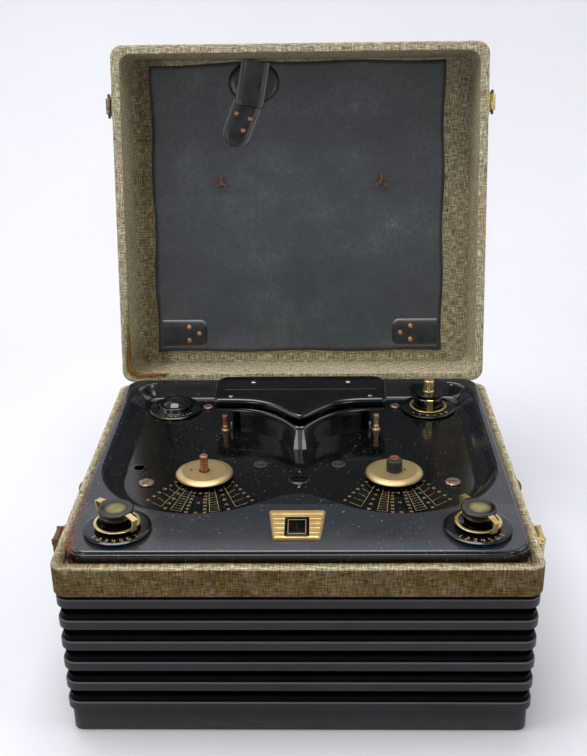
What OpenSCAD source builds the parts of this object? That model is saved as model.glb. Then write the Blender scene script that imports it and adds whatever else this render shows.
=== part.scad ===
// Portable open-reel tape recorder with its lid standing open.
// The origin is on the table under the middle of the base, +Z up, +Y towards the hinges.

/* [Case] */
// Outside width of the case
case_w = 408; // [400:1:430]
// Outside depth of the case, front to back
case_d = 369; // [364:1:385]
// Height of the base from the table to its rim
case_h = 171.5; // [165:0.5:190]
// Thickness of the plywood walls of band and lid
wood_t = 9.5; // [8:0.5:10]
// Radius of the upright corners of the case
corner_r = 13; // [10:1:16]
// Height of the cloth-covered band under the rim
band_h = 28; // [24:1:29]
// Thickness of the bottom panel
panel_t = 9; // [6:0.5:12]

/* [Ribbed body] */
// Number of ribs round the lower body
rib_count = 6; // [3:1:6]
// Distance from rib to rib
rib_pitch = 21.4; // [18:0.2:22]
// Height of one rib
rib_h = 10.3; // [8:0.1:12]
// How far a rib stands out of the groove
rib_depth = 3; // [2:0.5:4]
// Distance from the rim down to the top of the first rib
rib_drop = 31.5; // [31:0.5:34]
// How far the ribs lie inside the face of the band
rib_inset = 1.5; // [0.5:0.5:3]
// How far the plain skirt lies inside the ribs
skirt_inset = 3; // [1:0.5:4]
// Wall of the moulded body behind the grooves
body_wall = 7; // [6:0.5:8]
// Length of the sound slots in the front grooves
slot_w = 220; // [150:5:280]
// Height of the sound slots
slot_h = 5; // [3:0.5:7]

/* [Deck] */
// Height of the deck border above the rim
deck_rise = 11; // [9:0.5:12]
// Gap between the deck and the band
deck_gap = 1; // [0.8:0.1:1.5]
// Thickness of the pressed deck sheet
deck_sheet = 2; // [1.2:0.1:2.4]
// Radius of the corners of the deck
deck_corner_r = 14; // [10:1:18]
// Depth of the reel well below the border
well_depth = 16; // [14:0.5:17]
// Sideways run of the sloping well wall
well_slope = 13; // [8:0.5:15]
// Room between a reel and the top edge of the well
well_margin = 3; // [2:0.5:5]
// Width of the border along the back of the well
rear_border = 12; // [10:0.5:14]
// Distance from the spindles to the front edge of the well between the reels
saddle = 56; // [50:1:60]
// Depth of the deck ledge below the rim
ledge_drop = 8; // [6:0.5:10]
// Width of the deck ledge
ledge_w = 8; // [6:0.5:10]
// Diameter of the open hole in the well floor
open_hole_d = 10; // [6:0.5:12]
// Diameter of the rubber plugs
plug_d = 14; // [11:0.5:16]
// Distance between the rubber plugs
plug_span = 76; // [72:1:84]
// Diameter of the heads of the front deck screws
front_screw_d = 15; // [12:0.5:17]
// Diameter of the heads of the rear deck screws
rear_screw_d = 11; // [9:0.5:13]
// Distance from a reel spindle out to the front deck screw
front_screw_out = 54.5; // [52:0.5:57]
// Distance from a rear dial in to the rear deck screw
rear_screw_in = 35.5; // [35.5:0.5:38]
// Distance from the case back to the rear deck screws
rear_screw_back = 52.5; // [51:0.5:54]

/* [Badge] */
// Upper width of the badge plate
badge_top_w = 50; // [40:1:60]
// Lower width of the badge plate
badge_bottom_w = 40; // [30:1:50]
// Length of the badge plate up the border
badge_l = 45; // [35:1:48]
// Distance from the case front to the lower badge edge
badge_front = 27.5; // [26:0.5:32]
// Thickness of the badge plate
badge_t = 2; // [1:0.1:3]

/* [Reels] */
// Diameter of the reels that the machine takes
reel_d = 178; // [170:1:180]
// Width of the border beside the reel well
side_border = 11.5; // [10:0.5:13]
// Place of the reel spindles, front to back
spindle_y = -24; // [-26:1:-22]
// Diameter of a turntable
table_d = 57; // [50:1:60]
// Height of a turntable above the well floor
table_h = 7; // [6:0.5:8]
// Gap under a turntable
table_lift = 1; // [0.5:0.1:1.2]
// Diameter of the reel spindles
spindle_d = 7.9; // [7.5:0.1:8]
// Diameter of the upright shafts in their bearings
shaft_d = 10; // [9:0.1:10.5]
// Height of the bare left spindle above its turntable
spindle_h = 18; // [14:0.5:22]
// Diameter of the rubber cap on the right spindle
cap_d = 15; // [12:0.5:18]
// Height of the rubber cap
cap_h = 13; // [11:0.5:16]
// Diameter of the brake drums under the deck
drum_d = 60; // [48:1:64]
// Thickness of the brake drums
drum_t = 8; // [6:0.5:9]

/* [Controls] */
// Diameter of the four dials
dial_d = 58; // [50:1:58]
// Thickness of the dials
dial_t = 3; // [2.4:0.2:4]
// Diameter of the pointer rings
ring_d = 39; // [36:0.5:42]
// Thickness of the pointer rings
ring_t = 2; // [1.6:0.2:3]
// Height of the upright pointers
tab_h = 13; // [10:0.5:15]
// Width of the upright pointers
tab_w = 4.5; // [3:0.5:6]
// Thickness of the upright pointers
tab_t = 3; // [2:0.5:4]
// Diameter of the front knobs at the top
knob_d = 27; // [24:0.5:28]
// Diameter of the front knobs at the foot
knob_foot_d = 24; // [20:0.5:25]
// Height of the front knobs
knob_h = 15; // [12:0.5:18]
// Diameter of the control shafts
control_shaft_d = 6; // [5:0.1:7]
// Distance from the case side to the front dials
front_dial_side = 51.5; // [51:0.5:54]
// Distance from the case front to the front dials
front_dial_front = 44.5; // [44:0.5:48]
// Distance from the case side to the rear dials
rear_dial_side = 67.5; // [67:0.5:70]
// Distance from the case back to the rear dials
rear_dial_back = 56; // [55.5:0.5:60]
// Diameter of the selector hub
hub_d = 31; // [28:0.5:32]
// Height of the selector hub
hub_h = 14; // [10:0.5:18]
// Diameter of the bare bush on the selector hub
bush_d = 12; // [9:0.5:14]
// Height of the bare bush on the selector hub
bush_h = 14; // [8:0.5:16]
// Diameter of the level bezel
bezel_d = 38; // [34:0.5:42]
// Height of the level bezel above its dial
bezel_h = 5; // [4:0.5:7]
// Diameter of the level lens
lens_d = 26; // [22:0.5:30]
// Height of the dome of the level lens
lens_rise = 5; // [3:0.5:7]
// Diameter of the slotted speed selector
speed_d = 13; // [11:0.5:15]
// Diameter of the control bodies under the deck
control_d = 28; // [22:1:30]
// Height of the control bodies under the deck
control_h = 16; // [12:1:20]

/* [Head block] */
// Distance from the middle to the centres of the head block's arcs
arc_x = 90; // [89:0.5:91]
// Distance from the cover back to the centres of those arcs
arc_in = 177; // [176:0.5:179]
// Radius of the arcs at the foot of the front shield
shield_r = 118.5; // [117:0.5:119]
// How far the shield faces lean back towards the top
shield_lean = 3; // [2:0.5:4]
// Height of the front shield above the well floor
shield_h = 21; // [20.5:0.5:22]
// Thickness of the front shield at the top
shield_t = 6.5; // [5:0.5:7]
// Width of the shield wall
shield_w = 124; // [110:2:128]
// Width of the flange along the top of the shield
flange_w = 172; // [164:2:174]
// Thickness of that flange
flange_t = 1.6; // [1.2:0.1:1.8]
// Length trimmed off the nose of the shield
nose_trim = 2; // [1:0.5:4]
// Width of the head cover
cover_w = 178; // [174:1:179]
// Distance from the case back to the back of the head cover
cover_back = 51.5; // [50:0.5:53]
// Height of the head cover above the well floor
cover_h = 36; // [35:0.5:38]
// Height of the threading mouth under the cover lip
mouth_h = 6.5; // [6:0.1:7]
// Wall of the moulded head cover
cover_wall = 3; // [2:0.5:3.5]
// Depth of the flat top of the head cover
cover_flat = 33; // [28:1:38]
// Fall of the sloping front of the head cover
cover_fall = 6; // [4:0.5:7]
// Radius of the rear corners of the head cover
cover_corner_r = 14; // [10:1:18]
// Distance between the rear cover screws
rear_cover_span = 100; // [96:1:106]
// Distance between the front cover screws
front_cover_span = 144; // [140:1:148]
// Distance from the cover back to the front cover screws
front_cover_in = 45; // [44:0.5:46]
// Distance from the cover back to the rear cover screws
rear_cover_in = 14; // [12:0.5:16]
// Distance from the cover back to the tape
tape_in = 43; // [41:0.5:44]
// Distance between the tape guides
guide_span = 156; // [154:1:160]
// How far the guides stand in front of the tape
guide_front = 13; // [11:0.5:15]
// Diameter of the tape guides
guide_d = 6; // [5:0.5:7]
// Height of the tape guides
guide_h = 18.5; // [15:0.5:18.5]
// Diameter of the capstan
capstan_d = 6; // [5:0.5:7]
// Place of the capstan, left to right
capstan_x = 20; // [16:1:24]
// Diameter of the pinch roller
roller_d = 18; // [16:0.5:19]
// Height of the pinch roller
roller_h = 11; // [9:0.5:12]
// Open gap between pinch roller and capstan
pinch_open = 2; // [1.6:0.2:2.4]
// Length of the pinch arm
arm_l = 34; // [32:0.5:36]
// Width of a head can
head_w = 13; // [11:0.5:15]
// Depth of a head can
head_d = 12; // [10:0.5:14]

/* [Mechanism] */
// Room between the deck and the mechanism plate
plate_room = 28; // [27:1:32]
// Thickness of the mechanism plate
plate_t = 2; // [1.6:0.2:3]
// Diameter of the flywheel
flywheel_d = 84; // [76:1:86]
// Thickness of the flywheel
flywheel_t = 10; // [8:0.5:10]
// Diameter of the motor pulley
pulley_d = 14; // [10:0.5:16]
// Thickness of the drive belt
belt_t = 1.2; // [1:0.1:1.6]
// Width of the drive belt
belt_w = 4; // [3:0.5:5]
// Diameter of the motor
motor_d = 84; // [76:1:86]
// Height of the motor
motor_h = 60; // [50:1:62]
// Place of the motor, left to right
motor_x = -58; // [-60:1:-56]
// Place of the motor, front to back
motor_y = 30; // [28:1:32]
// Diameter of the shaft bearings
bearing_d = 16; // [15:0.5:18]
// Length of the shaft bearings
bearing_l = 12; // [10:0.5:12]

/* [Electronics] */
// Width of the amplifier chassis
amp_w = 200; // [180:2:210]
// Depth of the amplifier chassis
amp_d = 84; // [80:2:90]
// Height of the amplifier chassis
amp_h = 40; // [34:1:42]
// Thickness of the chassis sheet
amp_sheet = 1.5; // [1:0.1:2]
// Number of valves on the chassis
valve_count = 4; // [2:1:5]
// Diameter of a valve
valve_d = 22; // [18:1:24]
// Height of a valve
valve_h = 50; // [40:1:52]
// Width of the power transformer
mains_w = 66; // [56:1:72]
// Depth of the power transformer
mains_d = 58; // [50:1:64]
// Height of the power transformer
mains_h = 62; // [52:1:66]
// Diameter of the speaker frame
speaker_d = 128; // [110:1:130]
// Depth of the speaker cone
speaker_l = 40; // [34:1:44]
// Diameter of the speaker magnet
magnet_d = 50; // [44:1:56]
// Length of the speaker magnet
magnet_l = 24; // [20:1:28]

/* [Lid] */
// Depth of the lid from its rim to its outside
lid_depth = 84; // [78:1:90]
// Angle that the lid stands open
lid_open = 103; // [95:1:110]
// Distance from the side of the lid to the liner board
liner_side = 34; // [30:0.5:42]
// Distance from the end of the lid to the liner board
liner_end = 19.5; // [17:0.5:26]
// Thickness of the liner board
liner_t = 4; // [3:0.5:5]
// Thickness of the leather straps
strap_t = 2.5; // [2:0.1:3]
// Width of the leather straps
strap_w = 36; // [30:1:38]
// Length of the leather straps
strap_l = 54; // [48:1:62]
// Length of the folded strap at the top of the liner
strap_top_l = 96; // [90:1:100]
// Diameter of the strap rivets
rivet_d = 6; // [4:0.5:7]
// Distance between the reel studs on the liner
stud_span = 185; // [170:1:195]
// Distance from the hinge edge to the reel studs
stud_in = 221; // [200:1:230]

/* [Hinges and latches] */
// Distance between the hinges
hinge_span = 282; // [260:2:300]
// Width of a hinge
leaf_w = 36; // [30:1:42]
// Height of a hinge leaf
leaf_h = 18; // [14:1:19]
// Thickness of a hinge leaf
leaf_t = 1.2; // [1:0.1:1.6]
// Diameter of a hinge pin
hinge_pin_d = 2.4; // [2:0.1:2.8]
// Diameter of a hinge knuckle
knuckle_d = 5.4; // [5:0.1:6]
// Drop of the hinge pins below the rim
hinge_drop = 3; // [2:0.5:3.5]
// Distance from the case front to the latches
latch_front = 63; // [56:1:70]
// Width of a latch plate
latch_w = 28; // [26:1:32]
// Height of a latch plate
latch_h = 24; // [20:0.5:24]
// Thickness of a latch plate
latch_t = 1.5; // [1:0.1:2]
// Width of the swinging hasp
hasp_w = 18; // [14:0.5:20]
// Length of the swinging hasp
hasp_l = 18; // [14:0.5:19]
// Thickness of the swinging hasp
hasp_t = 5; // [4:0.5:6]
// Diameter of the side studs
side_stud_d = 16; // [12:0.5:18]
// How far the side studs stand out
side_stud_h = 5; // [4:0.5:6]
// Distance from the case front to the side studs
side_stud_front = 150; // [140:1:160]

/* [Clearances] */
// Radial clearance of a shaft that turns in its hole
run_gap = 0.05; // [0.02:0.01:0.08]
// Gap between pieces that move past each other
part_gap = 0.3; // [0.3:0.05:0.4]
// Radial clearance of pieces that are fixed together
fit_gap = 0.1; // [0.05:0.01:0.15]
// Gap between the closed lid and the rim
lid_gap = 0.6; // [0.5:0.1:1]

/* [Hidden] */
$fn = 96;
// Overlap that lets a cut run past a face
past = 1;
// Depth by which a joined solid is sunk into its neighbour
sink = 0.5;

// Heights of the main levels
rim_z = case_h;
band_z = rim_z - band_h;
border_z = rim_z + deck_rise;
floor_z = border_z - well_depth;
under_z = floor_z - deck_sheet;
ledge_z = rim_z - ledge_drop;
plate_z = under_z - plate_room;
table_z = floor_z + table_h;
shield_z = floor_z + shield_h;
lip_z = shield_z + mouth_h;
cover_z = floor_z + cover_h;

// Edges of the case
front_y = -case_d / 2;
back_y = case_d / 2;
side_x = case_w / 2;

// Plan sizes of the ribbed body, given as the inset from the case outline
groove_inset = rib_inset + rib_depth;
cavity_inset = groove_inset + body_wall;
skirt_in = rib_inset + skirt_inset;
rebate = 2;
panel_inset = cavity_inset - rebate + fit_gap;
skirt_h = rim_z - rib_drop - (rib_count - 1) * rib_pitch - rib_h;

// Bottom screws and their bosses
boss_r = 6;
boss_h = 20;
boss_end = 30;
boss_cap = 2;
screw_r = 2;
screw_tip = 2;
screw_head_r = 4;
screw_head_h = 2.5;
boss_x = side_x - cavity_inset - boss_r + rebate;
boss_y = case_d / 2 - cavity_inset - boss_end;

// Reel well
deck_w = case_w - 2 * (wood_t + deck_gap);
deck_d = case_d - 2 * (wood_t + deck_gap);
well_r = reel_d / 2 + well_margin;
well_floor_r = well_r - well_slope;
spindle_x = deck_w / 2 - side_border - well_r;
well_back = deck_d / 2 - rear_border;
shaft_r = shaft_d / 2;
shaft_hole_r = shaft_r + 1;
control_hole_r = control_shaft_d / 2 + 1;

// Small fittings of the well floor
plug_y = spindle_y + 26;
plug_rim_h = 1.2;
plug_knob_h = 2.4;
plug_neck_r = plug_d / 2 - 2;
plug_neck_l = 3.5;
speed_y = spindle_y - 2;
speed_top = 1.6;
speed_foot = 4;
speed_slot = 2;
speed_ring_w = 3;
front_screw_x = spindle_x + front_screw_out;
open_hole_x = -front_screw_x - 11;
open_hole_y = spindle_y + 21;
front_screw_y = spindle_y - 10;
rear_screw_y = back_y - rear_screw_back;
front_screw_h = 2;
rear_screw_h = 2.4;
deck_screw_l = 12;

// Dial places
front_dial_x = side_x - front_dial_side;
front_dial_y = front_y + front_dial_front;
rear_dial_x = side_x - rear_dial_side;
rear_dial_y = back_y - rear_dial_back;
rear_screw_x = rear_dial_x - rear_screw_in;
dial_boss_r = 8;
dial_bevel = 1;
dial_bevel_w = 2;
hub_disc = 3;
hub_neck = 1;
hub_step = 2;
control_shaft_r = control_shaft_d / 2;
ring_lift = dial_t + part_gap;
knob_lift = ring_lift + ring_t + part_gap;
output_turn = 130;
tone_turn = 116;
selector_turn = -90;

// Head block places
shield_top_r = shield_r + shield_lean;
shield_back_r = shield_top_r + shield_t;
cover_y = back_y - cover_back;
arc_y = cover_y - arc_in;
crease_y = cover_y - cover_flat;
tape_y = cover_y - tape_in;
guide_y = tape_y - guide_front;
nose_y = arc_y + sqrt(pow(shield_r, 2) - pow(arc_x, 2)) + nose_trim;
capstan_r = capstan_d / 2;
capstan_y = tape_y + capstan_r;
roller_y = capstan_y - capstan_r - pinch_open - roller_d / 2;
arm_x = capstan_x - arm_l;
arm_y = roller_y - 7;
arm_t = 3;
arm_w = 6;
arm_boss_r = 5;
arm_pin_r = 2.5;
arm_pin_h = 6;
roller_pin_r = 1.5;
roller_pin_end = 1.5;
head_xs = [-48, -22];
head_h = 13;
head_foot = 2;
guide_foot_h = 2;
guide_foot_w = 1.5;
guide_pin_r = 1.2;
guide_pin_h = 10;
guide_pin_in = 6.5;
cover_screw_r = 1.5;
cover_screw_l = 9;
cover_screw_head_r = 3;
cover_screw_head_h = 1.2;
cover_screw_seat = 1;
cover_pillar_r = 5;
cover_pillar_drop = 3;
rear_cover_y = cover_y - rear_cover_in;
front_cover_y = cover_y - front_cover_in;

// Mechanism levels
plate_side = 8;
bearing_z = plate_z - bearing_l / 2;
bearing_flange = 3;
flywheel_z = bearing_z + bearing_l + part_gap;
flywheel_rim = 8;
flywheel_dish = 4;
flywheel_hub_r = 10;
belt_z = flywheel_z + (flywheel_t - belt_w) / 2;
drum_drop = 6;
drum_z = under_z - drum_t - drum_drop;
spindle_foot = bearing_z - 2;
spindle_r = spindle_d / 2;
spindle_tip = 1;
spindle_hole = 8;
standoff_r = 6;
standoff_hole = deck_screw_l + 2;
motor_neck = 8;
motor_neck_in = 6;
motor_wall = 9;
motor_end = 6;
rotor_gap = 1;
rotor_r = motor_d / 2 - motor_wall - rotor_gap;
rotor_z0 = plate_z - plate_t - motor_h + motor_end;
rotor_z1 = plate_z - plate_t - motor_neck - motor_end;
table_edge = 1.6;
table_dish = 0.6;
table_land = 8;
table_hole_r = 1.3;
cap_roof = 3;
cap_bevel = 1.5;
cap_screw_h = 1.4;
cap_slot_w = 1.2;
cap_slot_h = 0.8;

// Electronics places
amp_side = 14;
amp_rear = 6;
amp_x = -cavity_reach(case_w) + amp_w / 2 + amp_side;
amp_y = cavity_reach(case_d) - amp_d / 2 - amp_rear;
valve_base_h = 8;
valve_base_w = 2;
mains_x = cavity_reach(case_w) - mains_w / 2 - 16;
mains_y = cavity_reach(case_d) - mains_d / 2 - 60;
speaker_z = panel_t + speaker_d / 2 + 4;
speaker_rim = 10;
speaker_sheet = 2;
cone_t = 2.5;

// Lid places
lid_z = rim_z + lid_gap;
lid_inner_z = lid_z + lid_depth - wood_t;
liner_z = lid_inner_z - liner_t;
liner_x = -4;
liner_y = -2.5;
liner_w = case_w - 2 * liner_side;
liner_l = case_d - 2 * liner_end;
hinge_y = back_y + knuckle_d / 2 + 0.2;
hinge_z = rim_z + lid_gap / 2 - hinge_drop;
hinge_x = (hinge_span - leaf_w) / 2;
leaf_drop = 3;
leaf_neck = 4;
knuckle_l = (leaf_w - 2 * part_gap) / 3;
knuckle_step = knuckle_l + part_gap;
catch_h = 20;
catch_lift = 6;
catch_lip = 7;
rivet_h = 1.2;
rivet_ring = rivet_d * 1.1;
reel_stud_h = 6;
reel_stud_r = 3;
prong_l = 8;
prong_w = 3;
prong_t = 3;

// Straps on the liner: place of the square end, turn and length
strap_spots = [
    [[liner_x - 46, liner_y - liner_l / 2 + strap_w / 2], 106, strap_top_l],
    [[liner_x - liner_w / 2 + strap_w / 2 + 1, back_y - 45], 0, strap_l],
    [[liner_x + liner_w / 2 - strap_w / 2 + 1, back_y - 45], 180, strap_l]
];

// Latch places
latch_y = front_y + latch_front;
latch_z = rim_z - 3;
hasp_x = side_x + latch_t + 4;
hasp_z = latch_z - 4;
hasp_barrel_r = 3;
hasp_pin_r = 1.2;
hasp_back = 1.5;
ear_t = 2;

// Half a size of the case less the wall of its body
function cavity_reach(size) = size / 2 - cavity_inset;

// Places of the three upright shafts
function shaft_spots() = [
    [-spindle_x, spindle_y], [spindle_x, spindle_y], [capstan_x, capstan_y]
];

// Height of the top of rib number i
function rib_z(i) = rim_z - rib_drop - i * rib_pitch;

// Height of the outside of the head cover at a place y
function cover_top(y) = y >= crease_y ? cover_z : cover_z - (crease_y - y) * tan(cover_fall);

// Height of the sunk seats of the front cover screws
front_seat_z = cover_top(front_cover_y) - cover_screw_seat;

// Rectangle with round corners, centred
module round_rect(w, d, r) {
    square([w - 2 * r, d], center = true);
    square([w, d - 2 * r], center = true);
    for (sx = [-1, 1], sy = [-1, 1])
        translate([sx * (w / 2 - r), sy * (d / 2 - r)])
            circle(r);
}

// Slab with the case outline drawn in by an inset, between two heights
module case_slab(inset, z0, z1) {
    translate([0, 0, z0])
        linear_extrude(z1 - z0)
            round_rect(case_w - 2 * inset, case_d - 2 * inset, max(corner_r - inset, 2));
}

// Upright rod between two heights
module rod(x, y, r, z0, z1) {
    translate([x, y, z0])
        cylinder(h = z1 - z0, r = r);
}

// A shape and its mirror image on the other side of the case
module pair() {
    children();
    mirror([1, 0, 0])
        children();
}

// Turns the closed lid about its hinges to the open place
module opened() {
    translate([0, hinge_y, hinge_z])
        rotate([-lid_open, 0, 0])
            translate([0, -hinge_y, -hinge_z])
                children();
}

// Ribbed lower body with bosses for the bottom screws
module base_shell() {
    color("#1b1c1e")
        difference() {
            union() {
                difference() {
                    union() {
                        case_slab(groove_inset, skirt_h - sink, band_z);
                        case_slab(skirt_in, 0, skirt_h);
                        for (i = [0 : rib_count - 1])
                            case_slab(rib_inset, rib_z(i) - rib_h, rib_z(i));
                    }
                    case_slab(cavity_inset, panel_t, band_z + past);
                    case_slab(cavity_inset - rebate, -past, panel_t + sink);
                    for (i = [0 : rib_count - 2])
                        translate([-slot_w / 2, front_y - past, rib_z(i) - rib_h - slot_h])
                            cube([slot_w, cavity_inset + 2 * past, slot_h]);
                }
                for (sx = [-1, 1], sy = [-1, 0, 1])
                    rod(sx * boss_x, sy * boss_y, boss_r, panel_t, panel_t + boss_h);
            }
            for (sx = [-1, 1], sy = [-1, 0, 1])
                rod(sx * boss_x, sy * boss_y, screw_r + fit_gap, 0, panel_t + boss_h - boss_cap);
        }
}

// Cloth-covered plywood band with the ledge that carries the deck
module case_band() {
    color("#8d8061")
        difference() {
            case_slab(0, band_z, rim_z);
            case_slab(wood_t, ledge_z, rim_z + past);
            case_slab(wood_t + ledge_w, band_z - past, ledge_z + past);
        }
}

// Plywood panel let into the foot of the body
module bottom_panel() {
    color("#6b4f33")
        difference() {
            case_slab(panel_inset, 0, panel_t);
            for (sx = [-1, 1], sy = [-1, 0, 1]) {
                rod(sx * boss_x, sy * boss_y, screw_r + fit_gap, -past, panel_t + past);
                rod(sx * boss_x, sy * boss_y, screw_head_r + fit_gap, -past, screw_head_h + fit_gap);
            }
        }
}

// Screws that hold the bottom panel
module bottom_screws() {
    color("#9c9a94")
        for (sx = [-1, 1], sy = [-1, 0, 1]) {
            rod(sx * boss_x, sy * boss_y, screw_head_r, fit_gap, screw_head_h);
            rod(sx * boss_x, sy * boss_y, screw_r, fit_gap, panel_t + boss_h - boss_cap - screw_tip);
        }
}

// Hollow of the reel well, grown by a skin thickness and ending at z1
module well(skin, z1) {
    z0 = floor_z - skin;
    rise = z1 - z0;
    low = well_floor_r + skin;
    high = low + well_slope * rise / (well_depth + skin);
    for (s = [-1, 1])
        translate([s * spindle_x, spindle_y, z0])
            cylinder(h = rise, r1 = low, r2 = high);
    translate([0, well_back + skin, z0])
        rotate([90, 0, 0])
            linear_extrude(well_back + skin - spindle_y)
                polygon([
                    [-spindle_x - low, 0], [spindle_x + low, 0],
                    [spindle_x + high, rise], [-spindle_x - high, rise]
                ]);
    saddle_y = spindle_y - saddle + well_slope - skin;
    saddle_half = spindle_x * 2 / 3;
    translate([-saddle_half, 0, z0])
        rotate([90, 0, 90])
            linear_extrude(2 * saddle_half)
                polygon([
                    [saddle_y, 0], [spindle_y, 0],
                    [spindle_y, rise], [saddle_y - high + low, rise]
                ]);
}

// Round hole through the well floor
module floor_hole(x, y, r) {
    rod(x, y, r, under_z - past, floor_z + past);
}

// Pressed and enamelled deck with its raised border and reel well
module deck_plate() {
    color("#131416")
        difference() {
            union() {
                difference() {
                    translate([0, 0, ledge_z])
                        linear_extrude(border_z - ledge_z)
                            round_rect(deck_w, deck_d, deck_corner_r);
                    translate([0, 0, ledge_z - past])
                        linear_extrude(border_z - ledge_z + past - deck_sheet)
                            round_rect(
                                deck_w - 2 * deck_sheet,
                                deck_d - 2 * deck_sheet,
                                deck_corner_r - deck_sheet
                            );
                }
                well(deck_sheet, border_z);
            }
            difference() {
                well(0, border_z + past);
                rod(arm_x, arm_y, arm_pin_r, floor_z - sink, floor_z + arm_pin_h);
                translate([0, speed_y, floor_z - sink])
                    linear_extrude(past + sink)
                        difference() {
                            circle(speed_d / 2 + speed_ring_w);
                            circle(speed_d / 2 + part_gap);
                        }
            }
            for (s = [-1, 1]) {
                floor_hole(s * spindle_x, spindle_y, shaft_hole_r);
                floor_hole(s * plug_span / 2, plug_y, plug_neck_r);
                floor_hole(s * front_screw_x, front_screw_y, screw_r + fit_gap);
                floor_hole(s * rear_screw_x, rear_screw_y, screw_r + fit_gap);
                rod(s * front_dial_x, front_dial_y, control_hole_r, ledge_z, border_z + past);
            }
            floor_hole(capstan_x, capstan_y, shaft_hole_r);
            floor_hole(rear_dial_x, rear_dial_y, control_hole_r);
            floor_hole(open_hole_x, open_hole_y, open_hole_d / 2);
            floor_hole(0, speed_y, speed_d / 2 + part_gap);
        }
}

// Large flat screws that hold the mechanism under the deck
module deck_screws() {
    color("#8a6f63")
        for (s = [-1, 1]) {
            deck_screw(s * front_screw_x, front_screw_y, front_screw_d / 2, front_screw_h);
            deck_screw(s * rear_screw_x, rear_screw_y, rear_screw_d / 2, rear_screw_h);
        }
}

// One deck screw with its head and shank
module deck_screw(x, y, r, h) {
    rod(x, y, r, floor_z, floor_z + h);
    rod(x, y, screw_r, under_z - deck_screw_l, floor_z + sink);
}

// Rubber plugs in the two spare holes of the well floor
module deck_plugs() {
    color("#202124")
        for (s = [-1, 1]) {
            rod(s * plug_span / 2, plug_y, plug_d / 2, floor_z, floor_z + plug_rim_h);
            rod(s * plug_span / 2, plug_y, plug_d / 4, floor_z, floor_z + plug_knob_h);
            rod(s * plug_span / 2, plug_y, plug_neck_r - fit_gap, floor_z - plug_neck_l, floor_z + sink);
        }
}

// Trapezoid badge plate on the front border
module badge_plate() {
    y0 = front_y + badge_front;
    color("#c79a4b")
        translate([0, 0, border_z])
            linear_extrude(badge_t)
                polygon([
                    [-badge_bottom_w / 2, y0], [badge_bottom_w / 2, y0],
                    [badge_top_w / 2, y0 + badge_l], [-badge_top_w / 2, y0 + badge_l]
                ]);
}

// Plan of the ground behind two arcs that lie round the reels
module behind_arcs(w, y1, r) {
    difference() {
        translate([-w / 2, spindle_y])
            square([w, y1 - spindle_y]);
        for (s = [-1, 1])
            translate([s * arc_x, arc_y])
                circle(r);
    }
}

// Plan of the head cover, drawn in by a wall
module cover_plan(inset) {
    reach = cover_y - spindle_y + 2 * cover_corner_r;
    intersection() {
        behind_arcs(cover_w - 2 * inset, cover_y - inset, shield_back_r + inset);
        translate([0, cover_y - reach / 2])
            round_rect(cover_w - 2 * inset, reach - 2 * inset, cover_corner_r - inset);
    }
}

// Space above the sloping front of the head cover, lowered by a drop
module above_cover_slope(drop) {
    translate([0, crease_y, cover_z - drop])
        rotate([cover_fall, 0, 0])
            translate([-cover_w, -2 * cover_w, 0])
                cube([2 * cover_w, 2 * cover_w, cover_h]);
}

// Moulded head cover with its screw pillars
module head_cover() {
    rear_w = cover_w - 2 * cover_corner_r;
    color("#0e0f10")
        difference() {
            union() {
                difference() {
                    translate([0, 0, lip_z])
                        linear_extrude(cover_z - lip_z)
                            cover_plan(0);
                    difference() {
                        translate([0, 0, lip_z - past])
                            linear_extrude(cover_z - lip_z + past - cover_wall)
                                cover_plan(cover_wall);
                        above_cover_slope(cover_wall);
                    }
                }
                translate([-rear_w / 2, cover_y - cover_wall, floor_z])
                    cube([rear_w, cover_wall, lip_z - floor_z + sink]);
                for (s = [-1, 1]) {
                    rod(s * rear_cover_span / 2, rear_cover_y, cover_pillar_r, floor_z, cover_z - sink);
                    rod(s * front_cover_span / 2, front_cover_y, cover_pillar_r,
                        lip_z - cover_pillar_drop, cover_top(front_cover_y));
                }
            }
            above_cover_slope(0);
            for (s = [-1, 1]) {
                rod(s * rear_cover_span / 2, rear_cover_y, cover_screw_r + fit_gap,
                    cover_z - cover_screw_l - past, cover_z + past);
                rod(s * front_cover_span / 2, front_cover_y, cover_screw_r + fit_gap,
                    lip_z - past, cover_z + past);
                rod(s * front_cover_span / 2, front_cover_y, cover_screw_head_r + fit_gap,
                    front_seat_z, cover_z + past);
            }
        }
}

// Screws of the head cover
module cover_screws() {
    color("#8d8275")
        for (s = [-1, 1]) {
            cover_screw(s * rear_cover_span / 2, rear_cover_y, cover_z - cover_screw_l, cover_z);
            cover_screw(s * front_cover_span / 2, front_cover_y, lip_z, front_seat_z);
        }
}

// One cover screw with its shank from z0 up to its head at z1
module cover_screw(x, y, z0, z1) {
    rod(x, y, cover_screw_r, z0, z1 + sink);
    rod(x, y, cover_screw_head_r, z1, z1 + cover_screw_head_h);
}

// Front shield with two hollow faces that follow the reels and meet in a nose
module front_shield() {
    color("#0e0f10")
        difference() {
            intersection() {
                for (s = [-1, 1])
                    rod(s * arc_x, arc_y, shield_back_r, floor_z, shield_z);
                union() {
                    translate([-shield_w / 2, nose_y, floor_z])
                        cube([shield_w, case_d, shield_h]);
                    translate([-flange_w / 2, nose_y, shield_z - flange_t])
                        cube([flange_w, case_d, flange_t]);
                }
            }
            for (s = [-1, 1])
                translate([s * arc_x, arc_y, floor_z - past])
                    cylinder(
                        h = shield_h + 2 * past,
                        r1 = shield_r - shield_lean * past / shield_h,
                        r2 = shield_top_r + shield_lean * past / shield_h
                    );
        }
}

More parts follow.
